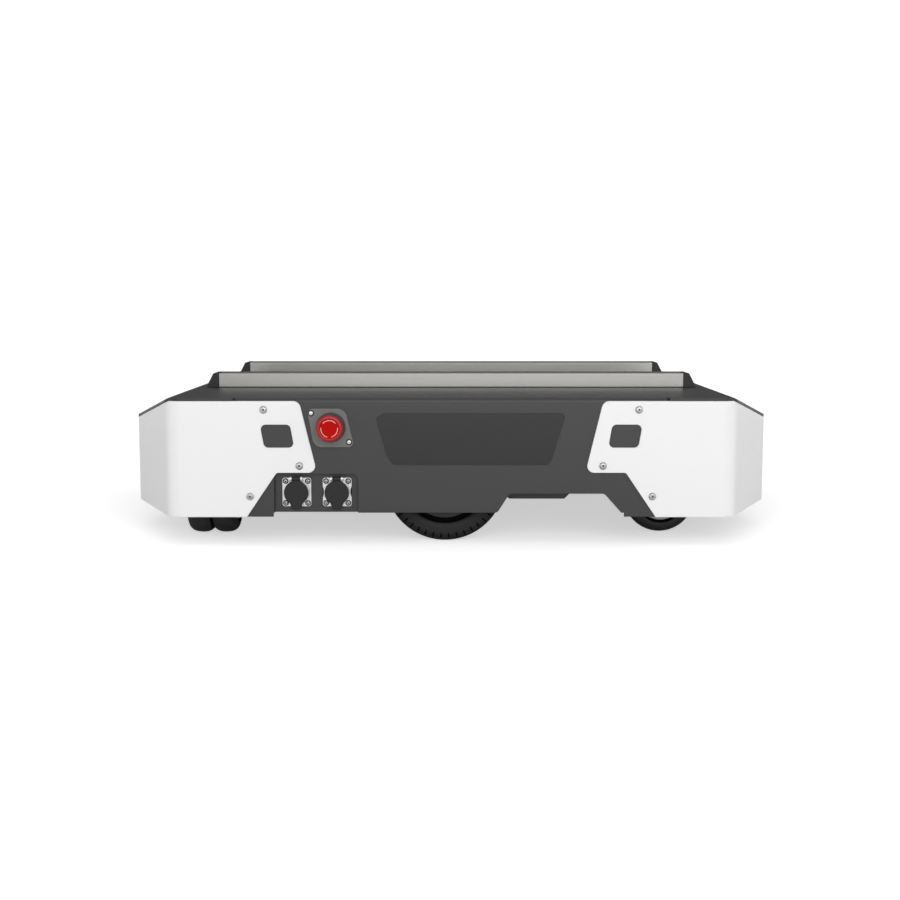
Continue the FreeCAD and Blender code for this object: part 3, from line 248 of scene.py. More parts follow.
def wear_group() -> NodeTree:
    """Worn edges: mixes a bare colour in where the surface is sharply convex.

    Returns:
        The group.
    """
    inputs = {"Colour": NEUTRAL, "Bare Colour": NEUTRAL, "Wear": 0.2}
    group = ShaderGroup("edge wear", inputs, {"Colour": Socket.COLOUR})
    convex = group.node("ShaderNodeNewGeometry").outputs["Pointiness"]
    place = group.node("ShaderNodeTexCoord").outputs["Object"]
    patches = group.result("ShaderNodeTexNoise", {"Vector": place, "Scale": CONVEX_PATCHES})
    edge = group.calc("MULTIPLY", group.calc("SUBTRACT", convex, CONVEX_FROM), CONVEX_GAIN)
    worn = group.calc("MULTIPLY", group.calc("MULTIPLY", edge, patches), group.given["Wear"])
    mask = group.result("ShaderNodeClamp", {"Value": worn})
    colours = {0: mask, MIX_A: group.given["Colour"], MIX_B: group.given["Bare Colour"]}
    mix = group.node("ShaderNodeMix", colours, data_type="RGBA")
    group.fill(group.exit, {"Colour": mix.outputs[MIX_RESULT]})
    return group.tree


class Pattern(Enum):
    """Surface pattern of a finish."""

    GRAIN = "coat grain"
    BRUSHED = "brush lines"


class GroupShelf:
    """Holds the shared groups, each made once."""

    makers = {Pattern.GRAIN: grain_group, Pattern.BRUSHED: brushed_group}

    def __init__(self) -> None:
        """Make every group."""
        self.patterns = {pattern: maker() for pattern, maker in self.makers.items()}
        self.wear = wear_group()


# ------------------------------------------------------------------ finishes


@dataclass(frozen=True)
class Finish:
    """One finish: its colour, gloss, pattern and how its edges wear."""

    name: str
    colour: Triple
    roughness: float
    metallic: float = 0.0
    pattern: Pattern = Pattern.GRAIN
    variation: float = 0.06
    grain: float = 900.0
    bump: float = 0.08
    wear: float = 0.0
    coat: float = 0.0
    specular: float = 0.5

    def build(self, shelf: GroupShelf) -> Material:
        """Make the material.

        Args:
            shelf: the shared shader groups.

        Returns:
            The finished material.
        """
        material = bpy.data.materials.new(self.name)
        material.use_nodes = True
        graph = Graph(material.node_tree)
        values = {"Colour": (*self.colour, 1.0), "Variation": self.variation, "Roughness": self.roughness}
        if self.pattern is Pattern.GRAIN:
            values["Grain Size"] = self.grain
        made = graph.node("ShaderNodeGroup", values, node_tree=shelf.patterns[self.pattern])
        colour, rough, height = (made.outputs[name] for name in ("Colour", "Roughness", "Height"))
        if self.wear:
            worn = {"Colour": colour, "Wear": self.wear}
            colour = graph.node("ShaderNodeGroup", worn, node_tree=shelf.wear).outputs["Colour"]
        relief = {"Strength": self.bump, "Distance": BUMP_DEPTH, "Height": height}
        surface = {
            "Base Color": colour,
            "Roughness": rough,
            "Normal": graph.result("ShaderNodeBump", relief),
            "Metallic": self.metallic,
            "Coat Weight": self.coat,
            "Specular IOR Level": self.specular,
        }
        graph.fill(material.node_tree.nodes["Principled BSDF"], surface)
        return material


FINISHES: dict[str, Finish] = {
    "body_grey": Finish(
        "body powder coat", (0.04, 0.04, 0.041), 0.42, variation=0.05, bump=0.1, specular=0.45
    ),
    "panel_grey": Finish(
        "panel powder coat", (0.04, 0.04, 0.041), 0.38, variation=0.05, bump=0.1, specular=0.45
    ),
    "cover_white": Finish("white powder coat", (0.92, 0.92, 0.922), 0.4, variation=0.01, bump=0.06),
    "screw_steel": Finish("bright zinc", (0.54, 0.54, 0.54), 0.3, metallic=1.0, variation=0.1, wear=0.2),
    # painted shade: darker grey standing for the shade inside the screws' hexagon sockets
    "screw_key": Finish("painted socket shade", (0.2, 0.2, 0.2), 0.45, metallic=0.8, variation=0.05),
    "stainless": Finish("stainless screw", (0.88, 0.88, 0.88), 0.32, metallic=0.7, variation=0.05),
    "chassis_steel": Finish("black powder coat", (0.028, 0.028, 0.03), 0.45, bump=0.12),
    "rail_aluminium": Finish(
        "brushed aluminium", (0.315, 0.308, 0.296), 0.3, 1.0, Pattern.BRUSHED, variation=0.07, bump=0.15
    ),
    "cap_black": Finish("moulded end cap", (0.016, 0.016, 0.016), 0.42, bump=0.12, specular=0.35),
    "plate_grey": Finish("satin plate", (0.15, 0.15, 0.146), 0.38, variation=0.1, grain=700.0, wear=0.15),
    "estop_black": Finish("moulded collar", (0.04, 0.038, 0.038), 0.45),
    "estop_red": Finish(
        "moulded red", (0.5, 0.006, 0.005), 0.34, variation=0.03, bump=0.02, specular=0.02
    ),
    "estop_rim": Finish(
        "polished red rim", (0.4, 0.007, 0.008), 0.22, variation=0.02, bump=0.01, specular=0.4
    ),
    "badge_dark": Finish(
        "satin dark panel", (0.02, 0.02, 0.021), 0.34, variation=0.04, bump=0.05, specular=0.36
    ),
    "socket_metal": Finish(
        "plated casting", (0.72, 0.72, 0.7), 0.34, 0.85, variation=0.1, grain=1400.0, bump=0.18, wear=0.2
    ),
    "lid_black": Finish(
        "moulded lid", (0.017, 0.017, 0.017), 0.5, variation=0.1, grain=1600.0, bump=0.2, specular=0.3
    ),
    "lens_white": Finish("opal lens", (0.72, 0.73, 0.75), 0.22, variation=0.01, bump=0.01, coat=0.4),
    "switch_metal": Finish("turned ring", (0.6, 0.6, 0.6), 0.25, metallic=1.0),
    "switch_black": Finish("switch cap", (0.018, 0.018, 0.018), 0.3),
    "battery_case": Finish("battery case", (0.03, 0.034, 0.04), 0.5, bump=0.2),
    "controller_metal": Finish("anodised housing", (0.1, 0.1, 0.11), 0.4, metallic=0.8),
    "zinc_steel": Finish("zinc plate", (0.42, 0.42, 0.43), 0.35, metallic=1.0, variation=0.12, wear=0.2),
    "caster_rubber": Finish("caster tread", (0.027, 0.027, 0.027), 0.55, variation=0.15, bump=0.2),
    "tyre_rubber": Finish(
        "tyre rubber", (0.011, 0.011, 0.011), 0.58, variation=0.15, bump=0.25, specular=0.33
    ),
    "rim_dark": Finish("dark rim", (0.02, 0.02, 0.021), 0.36, metallic=0.3),
    "arm_aluminium": Finish("machined arm", (0.45, 0.45, 0.45), 0.35, metallic=1.0, wear=0.3),
    "motor_steel": Finish("motor body", (0.18, 0.18, 0.19), 0.35, metallic=0.9),
    "spring_rubber": Finish("spring rubber", (0.022, 0.022, 0.022), 0.6, bump=0.2),
    "hub_pale": Finish("moulded hub", (0.72, 0.72, 0.72), 0.45, variation=0.03),
    "mark_pale": Finish("printed mark", (0.86, 0.5, 0.46), 0.45, variation=0.02),
    # painted shade: near-black put on gaps, grooves, notches, screw sockets and dishes where shade falls
    "recess_black": Finish(
        "shaded recess", (0.004, 0.004, 0.004), 0.85, variation=0.02, bump=0.02, specular=0.1
    ),
}


class FinishShelf:
    """Materials by slot name."""

    def __init__(self) -> None:
        """Build every material once."""
        groups = GroupShelf()
        self.made = {slot: finish.build(groups) for slot, finish in FINISHES.items()}

    def __getitem__(self, slot: str) -> Material:
        """Return the material of a slot."""
        return self.made[slot]


# ------------------------------------------------------------------ mesh helpers


def new_object(
    name: str, shape: BMesh, material: Material, sharp_deg: float = 35.0
) -> Object:
    """Turn a bmesh into a smooth-shaded object with sharp creases.

    Args:
        name: the piece's name.
        shape: its mesh, freed here.
        material: its finish.
        sharp_deg: creases above this angle stay sharp.

    Returns:
        The new object, linked to the scene.
    """
    limit = math.radians(sharp_deg)
    for face in shape.faces:
        face.smooth = True
    for edge in shape.edges:
        edge.smooth = not (len(edge.link_faces) == 2 and edge.calc_face_angle(0.0) > limit)
    mesh = bpy.data.meshes.new(name)
    shape.to_mesh(mesh)
    shape.free()
    mesh.materials.append(material)
    return place_mesh(name, mesh)


def place_mesh(name: str, mesh: Mesh) -> Object:
    """Put a mesh in the scene as an object.

    Args:
        name: name of the object.
        mesh: its mesh.

    Returns:
        The object.
    """
    made = bpy.data.objects.new(name, mesh)
    bpy.context.scene.collection.objects.link(made)
    return made


def mark_painted_shade(template: Object, faces: set[int]) -> None:
    """Mark the faces that a geometry tree gives its painted-shade material.

    Args:
        template: the object that the tree repeats.
        faces: numbers of the marked faces.
    """
    layer = template.data.attributes.new(SHADE_FACES, "BOOLEAN", "FACE")
    for face in template.data.polygons:
        layer.data[face.index].value = face.index in faces


def second_finish(
    piece: Object, material: Material, inside: Callable[[Vector], bool]
) -> None:
    """Give some faces of a piece another finish.

    Args:
        piece: the piece.
        material: the other finish.
        inside: tells from the middle of a face whether it takes that finish.
    """
    piece.data.materials.append(material)
    place = len(piece.data.materials) - 1
    for face in piece.data.polygons:
        if inside(face.center):
            face.material_index = place


def rounded(points: list[Triple], steps: int) -> Profile:
    """Round the corners of a closed outline.

    Args:
        points: (u, v, radius) corners.
        steps: segments in each rounded corner.

    Returns:
        The outline's points.
    """
    outline: Profile = []
    for i, (u, v, radius) in enumerate(points):
        here = Vector((u, v))
        if radius <= 0:
            outline.append((u, v))
            continue
        back = (Vector(points[i - 1][:2]) - here).normalized()
        ahead = (Vector(points[(i + 1) % len(points)][:2]) - here).normalized()
        half = back.angle(ahead) / 2
        trim = radius / math.tan(half)
        centre = here + (back + ahead).normalized() * (radius / math.sin(half))
        start, end = here + back * trim - centre, here + ahead * trim - centre
        turn = start.angle_signed(end)
        for k in range(steps + 1):
            c, s = math.cos(-turn * k / steps), math.sin(-turn * k / steps)
            outline.append((centre.x + start.x * c - start.y * s, centre.y + start.x * s + start.y * c))
    return outline


def turned_rings(
    shape: BMesh,
    profile: Profile,
    centre: Vector,
    axes: tuple[Vector, Vector, Vector],
    steps: int,
) -> list[Ring]:
    """Make rings of vertices about an axis.

    Args:
        shape: the mesh that takes them.
        profile: (radius, along) of each ring; without a radius it is one vertex, repeated.
        centre: point on the axis from which along is measured.
        axes: the two directions of the rings' planes, then the axis.
        steps: vertices in a ring.

    Returns:
        The rings.
    """
    side, up, axis = axes
    rays = [side * math.cos(a) + up * math.sin(a) for a in (2 * math.pi * k / steps for k in range(steps))]
    rings = []
    for radius, along in profile:
        at = centre + axis * along
        if radius < POINT:
            rings.append([shape.verts.new(at)] * steps)
        else:
            rings.append([shape.verts.new(at + ray * radius) for ray in rays])
    return rings


def skin(shape: BMesh, rings: list[Ring]) -> list[BMFace]:
    """Span faces between each ring and the next.

    Args:
        shape: the mesh.
        rings: closed rings of as many vertices each.

    Returns:
        The new faces, ring by ring.
    """
    made = []
    for first, second in zip(rings, rings[1:]):
        for k, corner in enumerate(first):
            n = (k + 1) % len(first)
            distinct = list(dict.fromkeys((corner, first[n], second[n], second[k])))
            if len(distinct) > 2:
                made.append(shape.faces.new(distinct))
    return made


def outward_faces(shape: BMesh) -> BMesh:
    """Turn every face of a closed mesh outward and return the mesh."""
    bmesh.ops.recalc_face_normals(shape, faces=shape.faces)
    return shape


def lathe(
    profile: Profile, centre: Vector, axis: Vector, steps: int
) -> BMesh:
    """Turn a closed profile about an axis.

    Args:
        profile: (radius, along) points in order round the section.
        centre: point on the axis from which along is measured.
        axis: unit vector of the axis.
        steps: segments round the axis.

    Returns:
        The closed mesh with outward faces.
    """
    shape = bmesh.new()
    side = axis.orthogonal().normalized()
    rings = turned_rings(shape, profile, centre, (side, axis.cross(side), axis), steps)
    skin(shape, rings + rings[:1])
    return outward_faces(shape)


def islands(node: Object) -> list[Box]:
    """Boxes of a CAD node's separate solids.

    Args:
        node: the node's object.

    Returns:
        Lowest and highest corner of each solid.
    """
    shape = bmesh.new()
    shape.from_mesh(node.data)
    bmesh.ops.remove_doubles(shape, verts=shape.verts, dist=1e-6)
    seen: set[BMVert] = set()
    boxes = []
    for start in shape.verts:
        if start in seen:
            continue
        found, stack = {start}, [start]
        while stack:
            near = {vert for edge in stack.pop().link_edges for vert in edge.verts} - found
            found |= near
            stack.extend(near)
        seen |= found
        low = Vector([min(v.co[i] for v in found) for i in range(3)])
        high = Vector([max(v.co[i] for v in found) for i in range(3)])
        boxes.append((low, high))
    shape.free()
    return boxes


# ------------------------------------------------------------------ geometry node trees


class GeometryTree(Graph):
    """A geometry node tree that repeats a template, realises it and sets its material, and the
    painted-shade material on its marked faces.
    """

    def __init__(self, name: str, sizes: dict[str, str]) -> None:
        """Make the tree with its standard inputs.

        Args:
            name: the tree's name.
            sizes: further inputs, name to kind of socket.
        """
        super().__init__(bpy.data.node_groups.new(name, "GeometryNodeTree"))
        kinds = {"Geometry": "Geometry", "Template": "Object", "Material": "Material"}
        kinds |= {"Recess Material": "Material", **sizes}
        face = self.tree.interface
        for title, kind in kinds.items():
            face.new_socket(name=title, in_out="INPUT", socket_type="NodeSocket" + kind)
        face.new_socket(name="Geometry", in_out="OUTPUT", socket_type="NodeSocketGeometry")
        self.given = self.node("NodeGroupInput").outputs
        template = self.node("GeometryNodeObjectInfo", {"Object": self.given["Template"]})
        repeated = {"Instance": template.outputs["Geometry"]}
        self.instance = self.node("GeometryNodeInstanceOnPoints", repeated)
        real = self.result("GeometryNodeRealizeInstances", {0: self.instance.outputs[0]})
        whole = {"Geometry": real, "Material": self.given["Material"]}
        finished = self.result("GeometryNodeSetMaterial", whole)
        marked = self.node("GeometryNodeInputNamedAttribute", {"Name": SHADE_FACES}, data_type="BOOLEAN")
        part = {
            "Geometry": finished,
            "Selection": marked.outputs["Attribute"],
            "Material": self.given["Recess Material"],
        }
        self.node("NodeGroupOutput", {0: self.result("GeometryNodeSetMaterial", part)})

    def apply(self, name: str, base: Mesh, values: dict[str, object]) -> Object:
        """Run the tree on a mesh and keep the result as a plain mesh.

        Args:
            name: the piece's name.
            base: mesh that the tree reads.
            values: input name to value.

        Returns:
            The plain piece.
        """
        host = place_mesh(name + "_host", base)
        modifier = host.modifiers.new("repeat", "NODES")
        modifier.node_group = self.tree
        for item in self.tree.interface.items_tree:
            if item.item_type == "SOCKET" and item.in_out == "INPUT" and item.name in values:
                modifier[item.identifier] = values[item.name]
        graph = bpy.context.evaluated_depsgraph_get()
        graph.update()
        mesh = bpy.data.meshes.new_from_object(host.evaluated_get(graph))
        host.modifiers.clear()
        bpy.data.objects.remove(host)
        mesh.name = name
        return place_mesh(name, mesh)


def seat_tree() -> GeometryTree:
    """Tree that sets the template on each vertex, its Z axis along the vertex's outward attribute.

    Returns:
        The tree.
    """
    made = GeometryTree("pieces on seats", {})
    outward = made.node("GeometryNodeInputNamedAttribute", {"Name": OUTWARD}, data_type="FLOAT_VECTOR")
    aim = made.node("FunctionNodeAlignRotationToVector", {"Vector": outward.outputs["Attribute"]}, axis="Z")
    made.fill(made.instance, {"Rotation": aim.outputs["Rotation"], "Points": made.given["Geometry"]})
    return made


def ring_tree() -> GeometryTree:
    """Tree that repeats the template round the Z axis, Count times.

    Returns:
        The tree.
    """
    made = GeometryTree("pieces round an axis", {"Count": "Int"})
    count = made.given["Count"]
    line = made.result("GeometryNodeMeshLine", {"Count": count, "Offset": (0.0, 0.0, 0.0)})
    share = made.calc("DIVIDE", made.result("GeometryNodeInputIndex"), count)
    angles = made.result("ShaderNodeCombineXYZ", {"Z": made.calc("MULTIPLY", share, 2 * math.pi)})
    made.fill(made.instance, {"Points": line, "Rotation": angles})
    return made


def seats_mesh(name: str, seats: list[Box]) -> Mesh:
    """Vertices with an outward direction each.

    Args:
        name: the mesh's name.
        seats: place and outward direction of each seat.

    Returns:
        The mesh that the seat tree reads.
    """
    mesh = bpy.data.meshes.new(name)
    mesh.from_pydata([place for place, _ in seats], [], [])
    outward = mesh.attributes.new(OUTWARD, "FLOAT_VECTOR", "POINT")
    for entry, (_, direction) in zip(outward.data, seats):
        entry.vector = direction
    return mesh


# ------------------------------------------------------------------ sub-assemblies


@dataclass
class Workshop:
    """What every sub-assembly needs: the frame, the finishes and the trees."""

    frame: dict
    finishes: FinishShelf
    seats: GeometryTree = field(default_factory=seat_tree)
    rings: GeometryTree = field(default_factory=ring_tree)

    def body_of(self, node: str) -> str:
        """Return the name of the body that holds a CAD node."""
        bodies = self.frame["record"]["behaviour"]["bodies"]
        return next(body for body, nodes in bodies.items() if node in nodes)

    def slot_of(self, node: str) -> str:
        """Return the material slot of a CAD node."""
        rows = self.frame["record"]["subparts"]
        return next(row["material_slot"] for row in rows if row["node"] == node)

    def copy_of(self, node: str) -> BMesh:
        """Copy a CAD node's mesh.

        Args:
            node: name of the CAD node.

        Returns:
            The copy, in metres.
        """
        shape = bmesh.new()
        shape.from_mesh(self.frame["nodes"][node].data)
        return shape

    def settle(self, piece: Object, body: str, slot: str, *nodes: str) -> None:
        """Tie a finished piece to its body and hide the CAD nodes it stands for.

        Args:
            piece: the piece.
            body: the body that it moves with.
            slot: the material slot of its finish; not used.
            nodes: CAD nodes that it replaces.
        """
        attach(piece, body)
        if nodes:
            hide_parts(*nodes)
        LOG.info("piece %s rides on %s", piece.name, body)


@dataclass
class PlainNodes:
    """CAD nodes that keep their own mesh and only take a finish."""

    shop: Workshop

    def build(self) -> None:
        """Give every CAD node the material of its slot."""
        for name, node in self.shop.frame["nodes"].items():
            material = self.shop.finishes[self.shop.slot_of(name)]
            for place in node.material_slots:
                place.material = material
            if not node.material_slots:
                node.data.materials.append(material)


class Region(Enum):
    """Where on a node a second finish of painted shade goes."""

    FOOT = "the lowest edge, in the seam to the piece below"
    RING = "the ring groove round a rim"


@dataclass(frozen=True)
class Accent:
    """A second finish on part of a node, between two heights or radii, and for a ring down to a depth."""

    node: str
    finish: str
    region: Region
    low: float
    high: float
    depth: float = 0.0

    def holds(self, spot: Vector, corner: Vector, far: Vector) -> bool:
        """Tell whether a face belongs to the region.

        Args:
            spot: middle of the face.
            corner: lowest corner of the node.
            far: highest corner of the node.

        Returns:
            True where the second finish goes.
        """
        if self.region is Region.FOOT:
            return self.low < spot.z - corner.z < self.high
        middle = (corner + far) / 2
        front = max(abs(corner.y), abs(far.y))
        reach = math.hypot(spot.x - middle.x, spot.z - middle.z)
        return self.low < reach < self.high and SKIN < front - abs(spot.y) < self.depth


@dataclass
class SoftenedParts:
    """Copies of sharp-edged CAD pieces with small rounded edges, as pressed and moulded parts have."""

    shop: Workshop
    fine_deg: float = 0.5  # faces that meet flatter than this become one
    crease_deg: float = 35.0  # edges sharper than this are rounded
    accents: tuple[Accent, ...] = (
        # painted shade: a near-black line along each rail's foot on the deck, and a near-black ring in the
        # drive rim's groove
        Accent("rail_left", "recess_black", Region.FOOT, -1.0 * MM, 0.6 * MM),
        Accent("rail_right", "recess_black", Region.FOOT, -1.0 * MM, 0.6 * MM),
        Accent("drive_rim", "recess_black", Region.RING, 37.8 * MM, 43.6 * MM, 9.2 * MM),
    )
    edges_mm: tuple[tuple[float, tuple[str, ...]], ...] = (
        (0.35, ("top_cover", "end_panel_front", "end_panel_rear")),
        (0.4, tuple("corner_cover_" + corner for corner in CORNERS)),
        (0.3, ("rail_right", "rail_left")),
        (0.5, ("rail_end_caps",)),
        (0.35, ("estop_plate_right", "estop_plate_left")),
        (0.4, ("estop_base_right", "estop_base_left")),
        (0.2, ("badge_plate",)),
        (0.3, ("connector_plate", "charge_socket", "comm_socket")),
        (0.7, ("charge_lid", "comm_lid")),
        (0.5, ("front_light_lens",)),
        (0.4, ("power_bezel",)),
        (0.5, ("power_button", "drive_rim_right", "drive_rim_left")),
    )

    def build(self) -> None:
        """Make every softened piece."""
        for edge, nodes in self.edges_mm:
            for node in nodes:
                self.soften(node, edge * MM)

    def soften(self, node: str, edge: float) -> None:
        """Copy one node, merge its faces and round its edges.

        Args:
            node: the CAD node.
            edge: width of the rounding in metres.
        """
        shape = self.shop.copy_of(node)
        bmesh.ops.remove_doubles(shape, verts=shape.verts, dist=WELD)
        fine = math.radians(self.fine_deg)
        bmesh.ops.dissolve_limit(shape, angle_limit=fine, verts=shape.verts, edges=shape.edges)
        many_sided = [face for face in shape.faces if len(face.verts) > 4]
        bmesh.ops.triangulate(shape, faces=many_sided, quad_method="BEAUTY", ngon_method="BEAUTY")
        slot = self.shop.slot_of(node)
        piece = new_object(node + "_soft", shape, self.shop.finishes[slot])
        self.accent(piece, node)
        rounding = piece.modifiers.new("rounded edges", "BEVEL")
        rounding.width = edge
        rounding.segments = 2
        rounding.limit_method = "ANGLE"
        rounding.angle_limit = math.radians(self.crease_deg)
        rounding.loop_slide = False
        rounding.use_clamp_overlap = False
        piece.modifiers.new("even shading", "WEIGHTED_NORMAL").keep_sharp = True
        self.shop.settle(piece, self.shop.body_of(node), slot, node)

    def accent(self, piece: Object, node: str) -> None:
        """Give the faces inside a node's accent region its second finish.

        Args:
            piece: the softened copy.
            node: the CAD node.
        """
        low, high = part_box(node)
        for accent in self.accents:
            if node.startswith(accent.node):
                finish = self.shop.finishes[accent.finish]
                second_finish(piece, finish, lambda spot: accent.holds(spot, low, high))


@dataclass
class DriveTyre:
    """Tyre with two tread grooves and short radial notches on its shoulders, repeated from one sector; its
    notches and the faces inside the bead take near-black painted shade.
    """

    shop: Workshop
    bead_r: float = 43.3 * MM
    notches: int = 44
    notch_w: float = 1.5 * MM
    notch_wall: float = 0.15 * MM
    notch_depth: float = 1.7 * MM
    notch_slant: tuple[float, float] = (0.5, 0.87)  # shares of the depth inward and sideways
    groove_depth: float = 2.2 * MM
    groove_w: float = 2.6 * MM
    groove_place: float = 0.3  # share of the half width
    sharp_deg: float = 40.0
    shoulder: tuple[tuple[float, float, bool], ...] = (
        (18.7, 1.5, False), (17.8, 0.8, False), (15.5, 0.15, False), (13.0, 0.0, False),
        (8.4, 0.0, False), (7.6, 0.05, True), (6.4, 0.15, True), (4.8, 0.75, True),
        (3.3, 1.7, True), (2.1, 2.8, True), (1.7, 3.2, False), (0.8, 4.7, False), (0.2, 6.4, False),
        (0.0, 8.2, False),
    )  # millimetres below the tread, millimetres in from the face, and whether a notch reaches there

    def build(self, name: str) -> None:
        """Make one tyre.

        Args:
            name: right or left.
        """
        node = "drive_tyre_" + name
        low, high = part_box(node)
        middle = (low + high) / 2
        rubber, black = (self.shop.finishes[slot] for slot in ("tyre_rubber", "recess_black"))
        shape, notched = self.sector((high.z - low.z) / 2, (high.y - low.y) / 2)
        sector = new_object("sector_" + name, shape, rubber, self.sharp_deg)
        # painted shade: the notches' faces are marked for near-black
        mark_painted_shade(sector, notched)
        values = {"Template": sector, "Material": rubber, "Recess Material": black, "Count": self.notches}
        ring = self.shop.rings.apply("ring_" + name, bpy.data.meshes.new("ring_base"), values)
        shaded = ring.data.materials.find(black.name)
        shape = bmesh.new()
        shape.from_mesh(ring.data)
        for face in shape.faces:
            face.material_index = int(face.material_index == shaded)
        for spare in (sector, ring):
            bpy.data.objects.remove(spare)
        bmesh.ops.remove_doubles(shape, verts=shape.verts, dist=WELD)
        upright = Matrix.Translation(middle) @ Matrix.Rotation(math.pi / 2, 4, "X")
        bmesh.ops.transform(shape, matrix=upright, verts=shape.verts)
        piece = new_object("tyre_" + name, outward_faces(shape), rubber, self.sharp_deg)
        # painted shade: the faces inside the bead go near-black, standing for the shade between tyre and
        # rim
        bore = self.bead_r + 2 * SKIN
        second_finish(piece, black, lambda spot: math.hypot(spot.x - middle.x, spot.z - middle.z) < bore)
        self.shop.settle(piece, "drive_wheel_" + name, "tyre_rubber", node)

    def profile(self, radius: float, half: float) -> list[tuple[float, float, bool]]:
        """Section of the tyre.

        Args:
            radius: outer radius.
            half: half the width.

        Returns:
            Radius, distance along the axle and whether a notch reaches there, round the section.
        """
        middle, low = half * self.groove_place, radius - self.groove_depth
        inner, outer = middle - self.groove_w / 2, middle + self.groove_w / 2
        flank = [(radius - drop * MM, half - inset * MM, cut) for drop, inset, cut in self.shoulder]
        flank += [(radius, outer, False), (low, outer, False), (low, inner, False), (radius, inner, False)]
        return flank + [(r, -along, cut) for r, along, cut in reversed(flank)]

    def sector(self, radius: float, half: float) -> tuple[BMesh, set[int]]:
        """One sector of the tyre about the Z axis, with a notch in the middle of each shoulder.

        Args:
            radius: outer radius.
            half: half the width.

        Returns:
            The open sector, and the numbers of the faces inside its notches.
        """
        turn = 2 * math.pi / self.notches
        middle, slot, wall = turn / 2, self.notch_w / 2 / radius, self.notch_wall / radius
        before = (0.0, turn / 4, middle - slot - wall, middle - slot)
        angles = (*before, *(turn - angle for angle in reversed(before)))
        sunk = (len(before) - 1, len(before))  # columns at the notch's floor
        inward, sideways = (self.notch_depth * share for share in self.notch_slant)
        section = self.profile(radius, half)
        shape = bmesh.new()
        columns = []
        for number, angle in enumerate(angles):
            column = []
            for r, along, cut in section:
                if cut and number in sunk:
                    r -= inward
                    along -= math.copysign(sideways, along)
                column.append(shape.verts.new((r * math.cos(angle), r * math.sin(angle), along)))
            columns.append(column)
        skin(shape, columns)
        size = len(section)
        rows = [i for i in range(size) if section[i][2] and section[(i + 1) % size][2]]
        return shape, {number * size + i for number in (sunk[0] - 1, *sunk) for i in rows}


@dataclass
class CasterWheel:
    """One wheel of a twin caster: a tread that falls gently inside and steeply outside, and a pale hub; the
    tread's ring groove is painted near-black as shade.
    """

    shop: Workshop
    hub_r: float = 23.8 * MM
    groove_r: float = 26.8 * MM
    groove_depth: float = 5.0 * MM
    core_r: float = 21.4 * MM
    bore_r: float = 4.1 * MM
    cap_r: float = 9.8 * MM
    gap: float = 0.3 * MM
    cap_rise: float = 1.2 * MM
    inset: float = 1.6 * MM
    lip: float = 0.2 * MM
    core_in: float = 2.4 * MM
    foot_in: float = 1.6 * MM
    hub_in: float = 2.3 * MM
    hub_bends: Triple = (0.5 * MM, 2.4 * MM, 1.5 * MM)  # inside, rim, cap
    steps: int = 80
    crown: tuple[tuple[float, float], ...] = (
        (4.6, 1.45), (3.2, 1.75), (2.3, 2.9), (1.3, 4.6), (0.6, 6.5), (0.15, 8.8), (0.0, 11.4),
        (0.1, 14.0), (0.35, 16.8), (0.9, 19.4), (1.9, 21.7), (3.2, 23.5), (4.9, 24.7), (6.9, 25.4),
        (9.2, 25.9),
    )  # millimetres below the crown and along the axle

    def build(self, corner: str, letter: str) -> None:
        """Make one wheel in two pieces, tread and hub.

        Args:
            corner: the caster's corner.
            letter: which of the twin wheels.
        """
        mark = f"{corner}_{letter}"
        node = "caster_wheel_" + mark
        low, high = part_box(node)
        fork_low, fork_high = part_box("caster_fork_" + corner)
        sizes, middle = high - low, (low + high) / 2
        axis = X_AXIS if sizes.x < sizes.y else Y_AXIS
        if (middle - (fork_low + fork_high) / 2).dot(axis) < 0:
            axis = -axis
        length = abs(sizes.dot(axis))
        plane = middle - axis * (length / 2 + self.gap)
        face = length + self.gap - self.cap_rise - self.inset
        tread = lathe(self.tread(sizes.z / 2, face), plane, axis, self.steps)
        piece = new_object("tread_" + mark, tread, self.shop.finishes["caster_rubber"])
        floor = face - self.groove_depth - self.lip

        def grooved(spot: Vector) -> bool:
            """Tell whether a face lies in the ring groove."""
            along = (spot - plane).dot(axis)
            return along > floor and (spot - plane - axis * along).length < self.groove_r + SKIN

        # painted shade: the ring groove goes near-black
        second_finish(piece, self.shop.finishes["recess_black"], grooved)
        self.shop.settle(piece, "wheel_" + mark, "caster_rubber", node)
        hub = lathe(self.hub(face), plane, axis, self.steps)
        cap = new_object("hub_" + mark, hub, self.shop.finishes["hub_pale"])
        self.shop.settle(cap, "wheel_" + mark, "caster_rubber")

    def tread(self, radius: float, face: float) -> Profile:
        """Section of the tread.

        Args:
            radius: outer radius.
            face: distance of the outer face from the plane between the twins.

        Returns:
            Radius and distance along the axle, round the section.
        """
        floor = face - self.groove_depth
        crown = [(radius - drop * MM, along * MM) for drop, along in self.crown]
        groove = [(self.groove_r, face - self.lip), (self.groove_r, floor), (self.core_r, floor)]
        return [(self.core_r, self.core_in), (self.groove_r, self.foot_in), *crown, *groove]

    def hub(self, face: float) -> Profile:
        """Section of the hub with its softly domed cap.

        Args:
            face: distance of the outer face from the plane between the twins.

        Returns:
            Radius and distance along the axle, round the section.
        """
        floor, cap = face - self.groove_depth, face + self.cap_rise
        inside, rim, top = self.hub_bends
        corners = [
            (self.bore_r, self.gap, 0),
            (self.cap_r, self.gap, inside),
            (self.core_r, self.hub_in, 0),
            (self.core_r, floor, 0),
            (self.hub_r, floor, 0),
            (self.hub_r, face, rim),
            (self.cap_r, cap, top),
            (self.bore_r, cap, 0),
        ]
        return rounded(corners, BEND_STEPS)


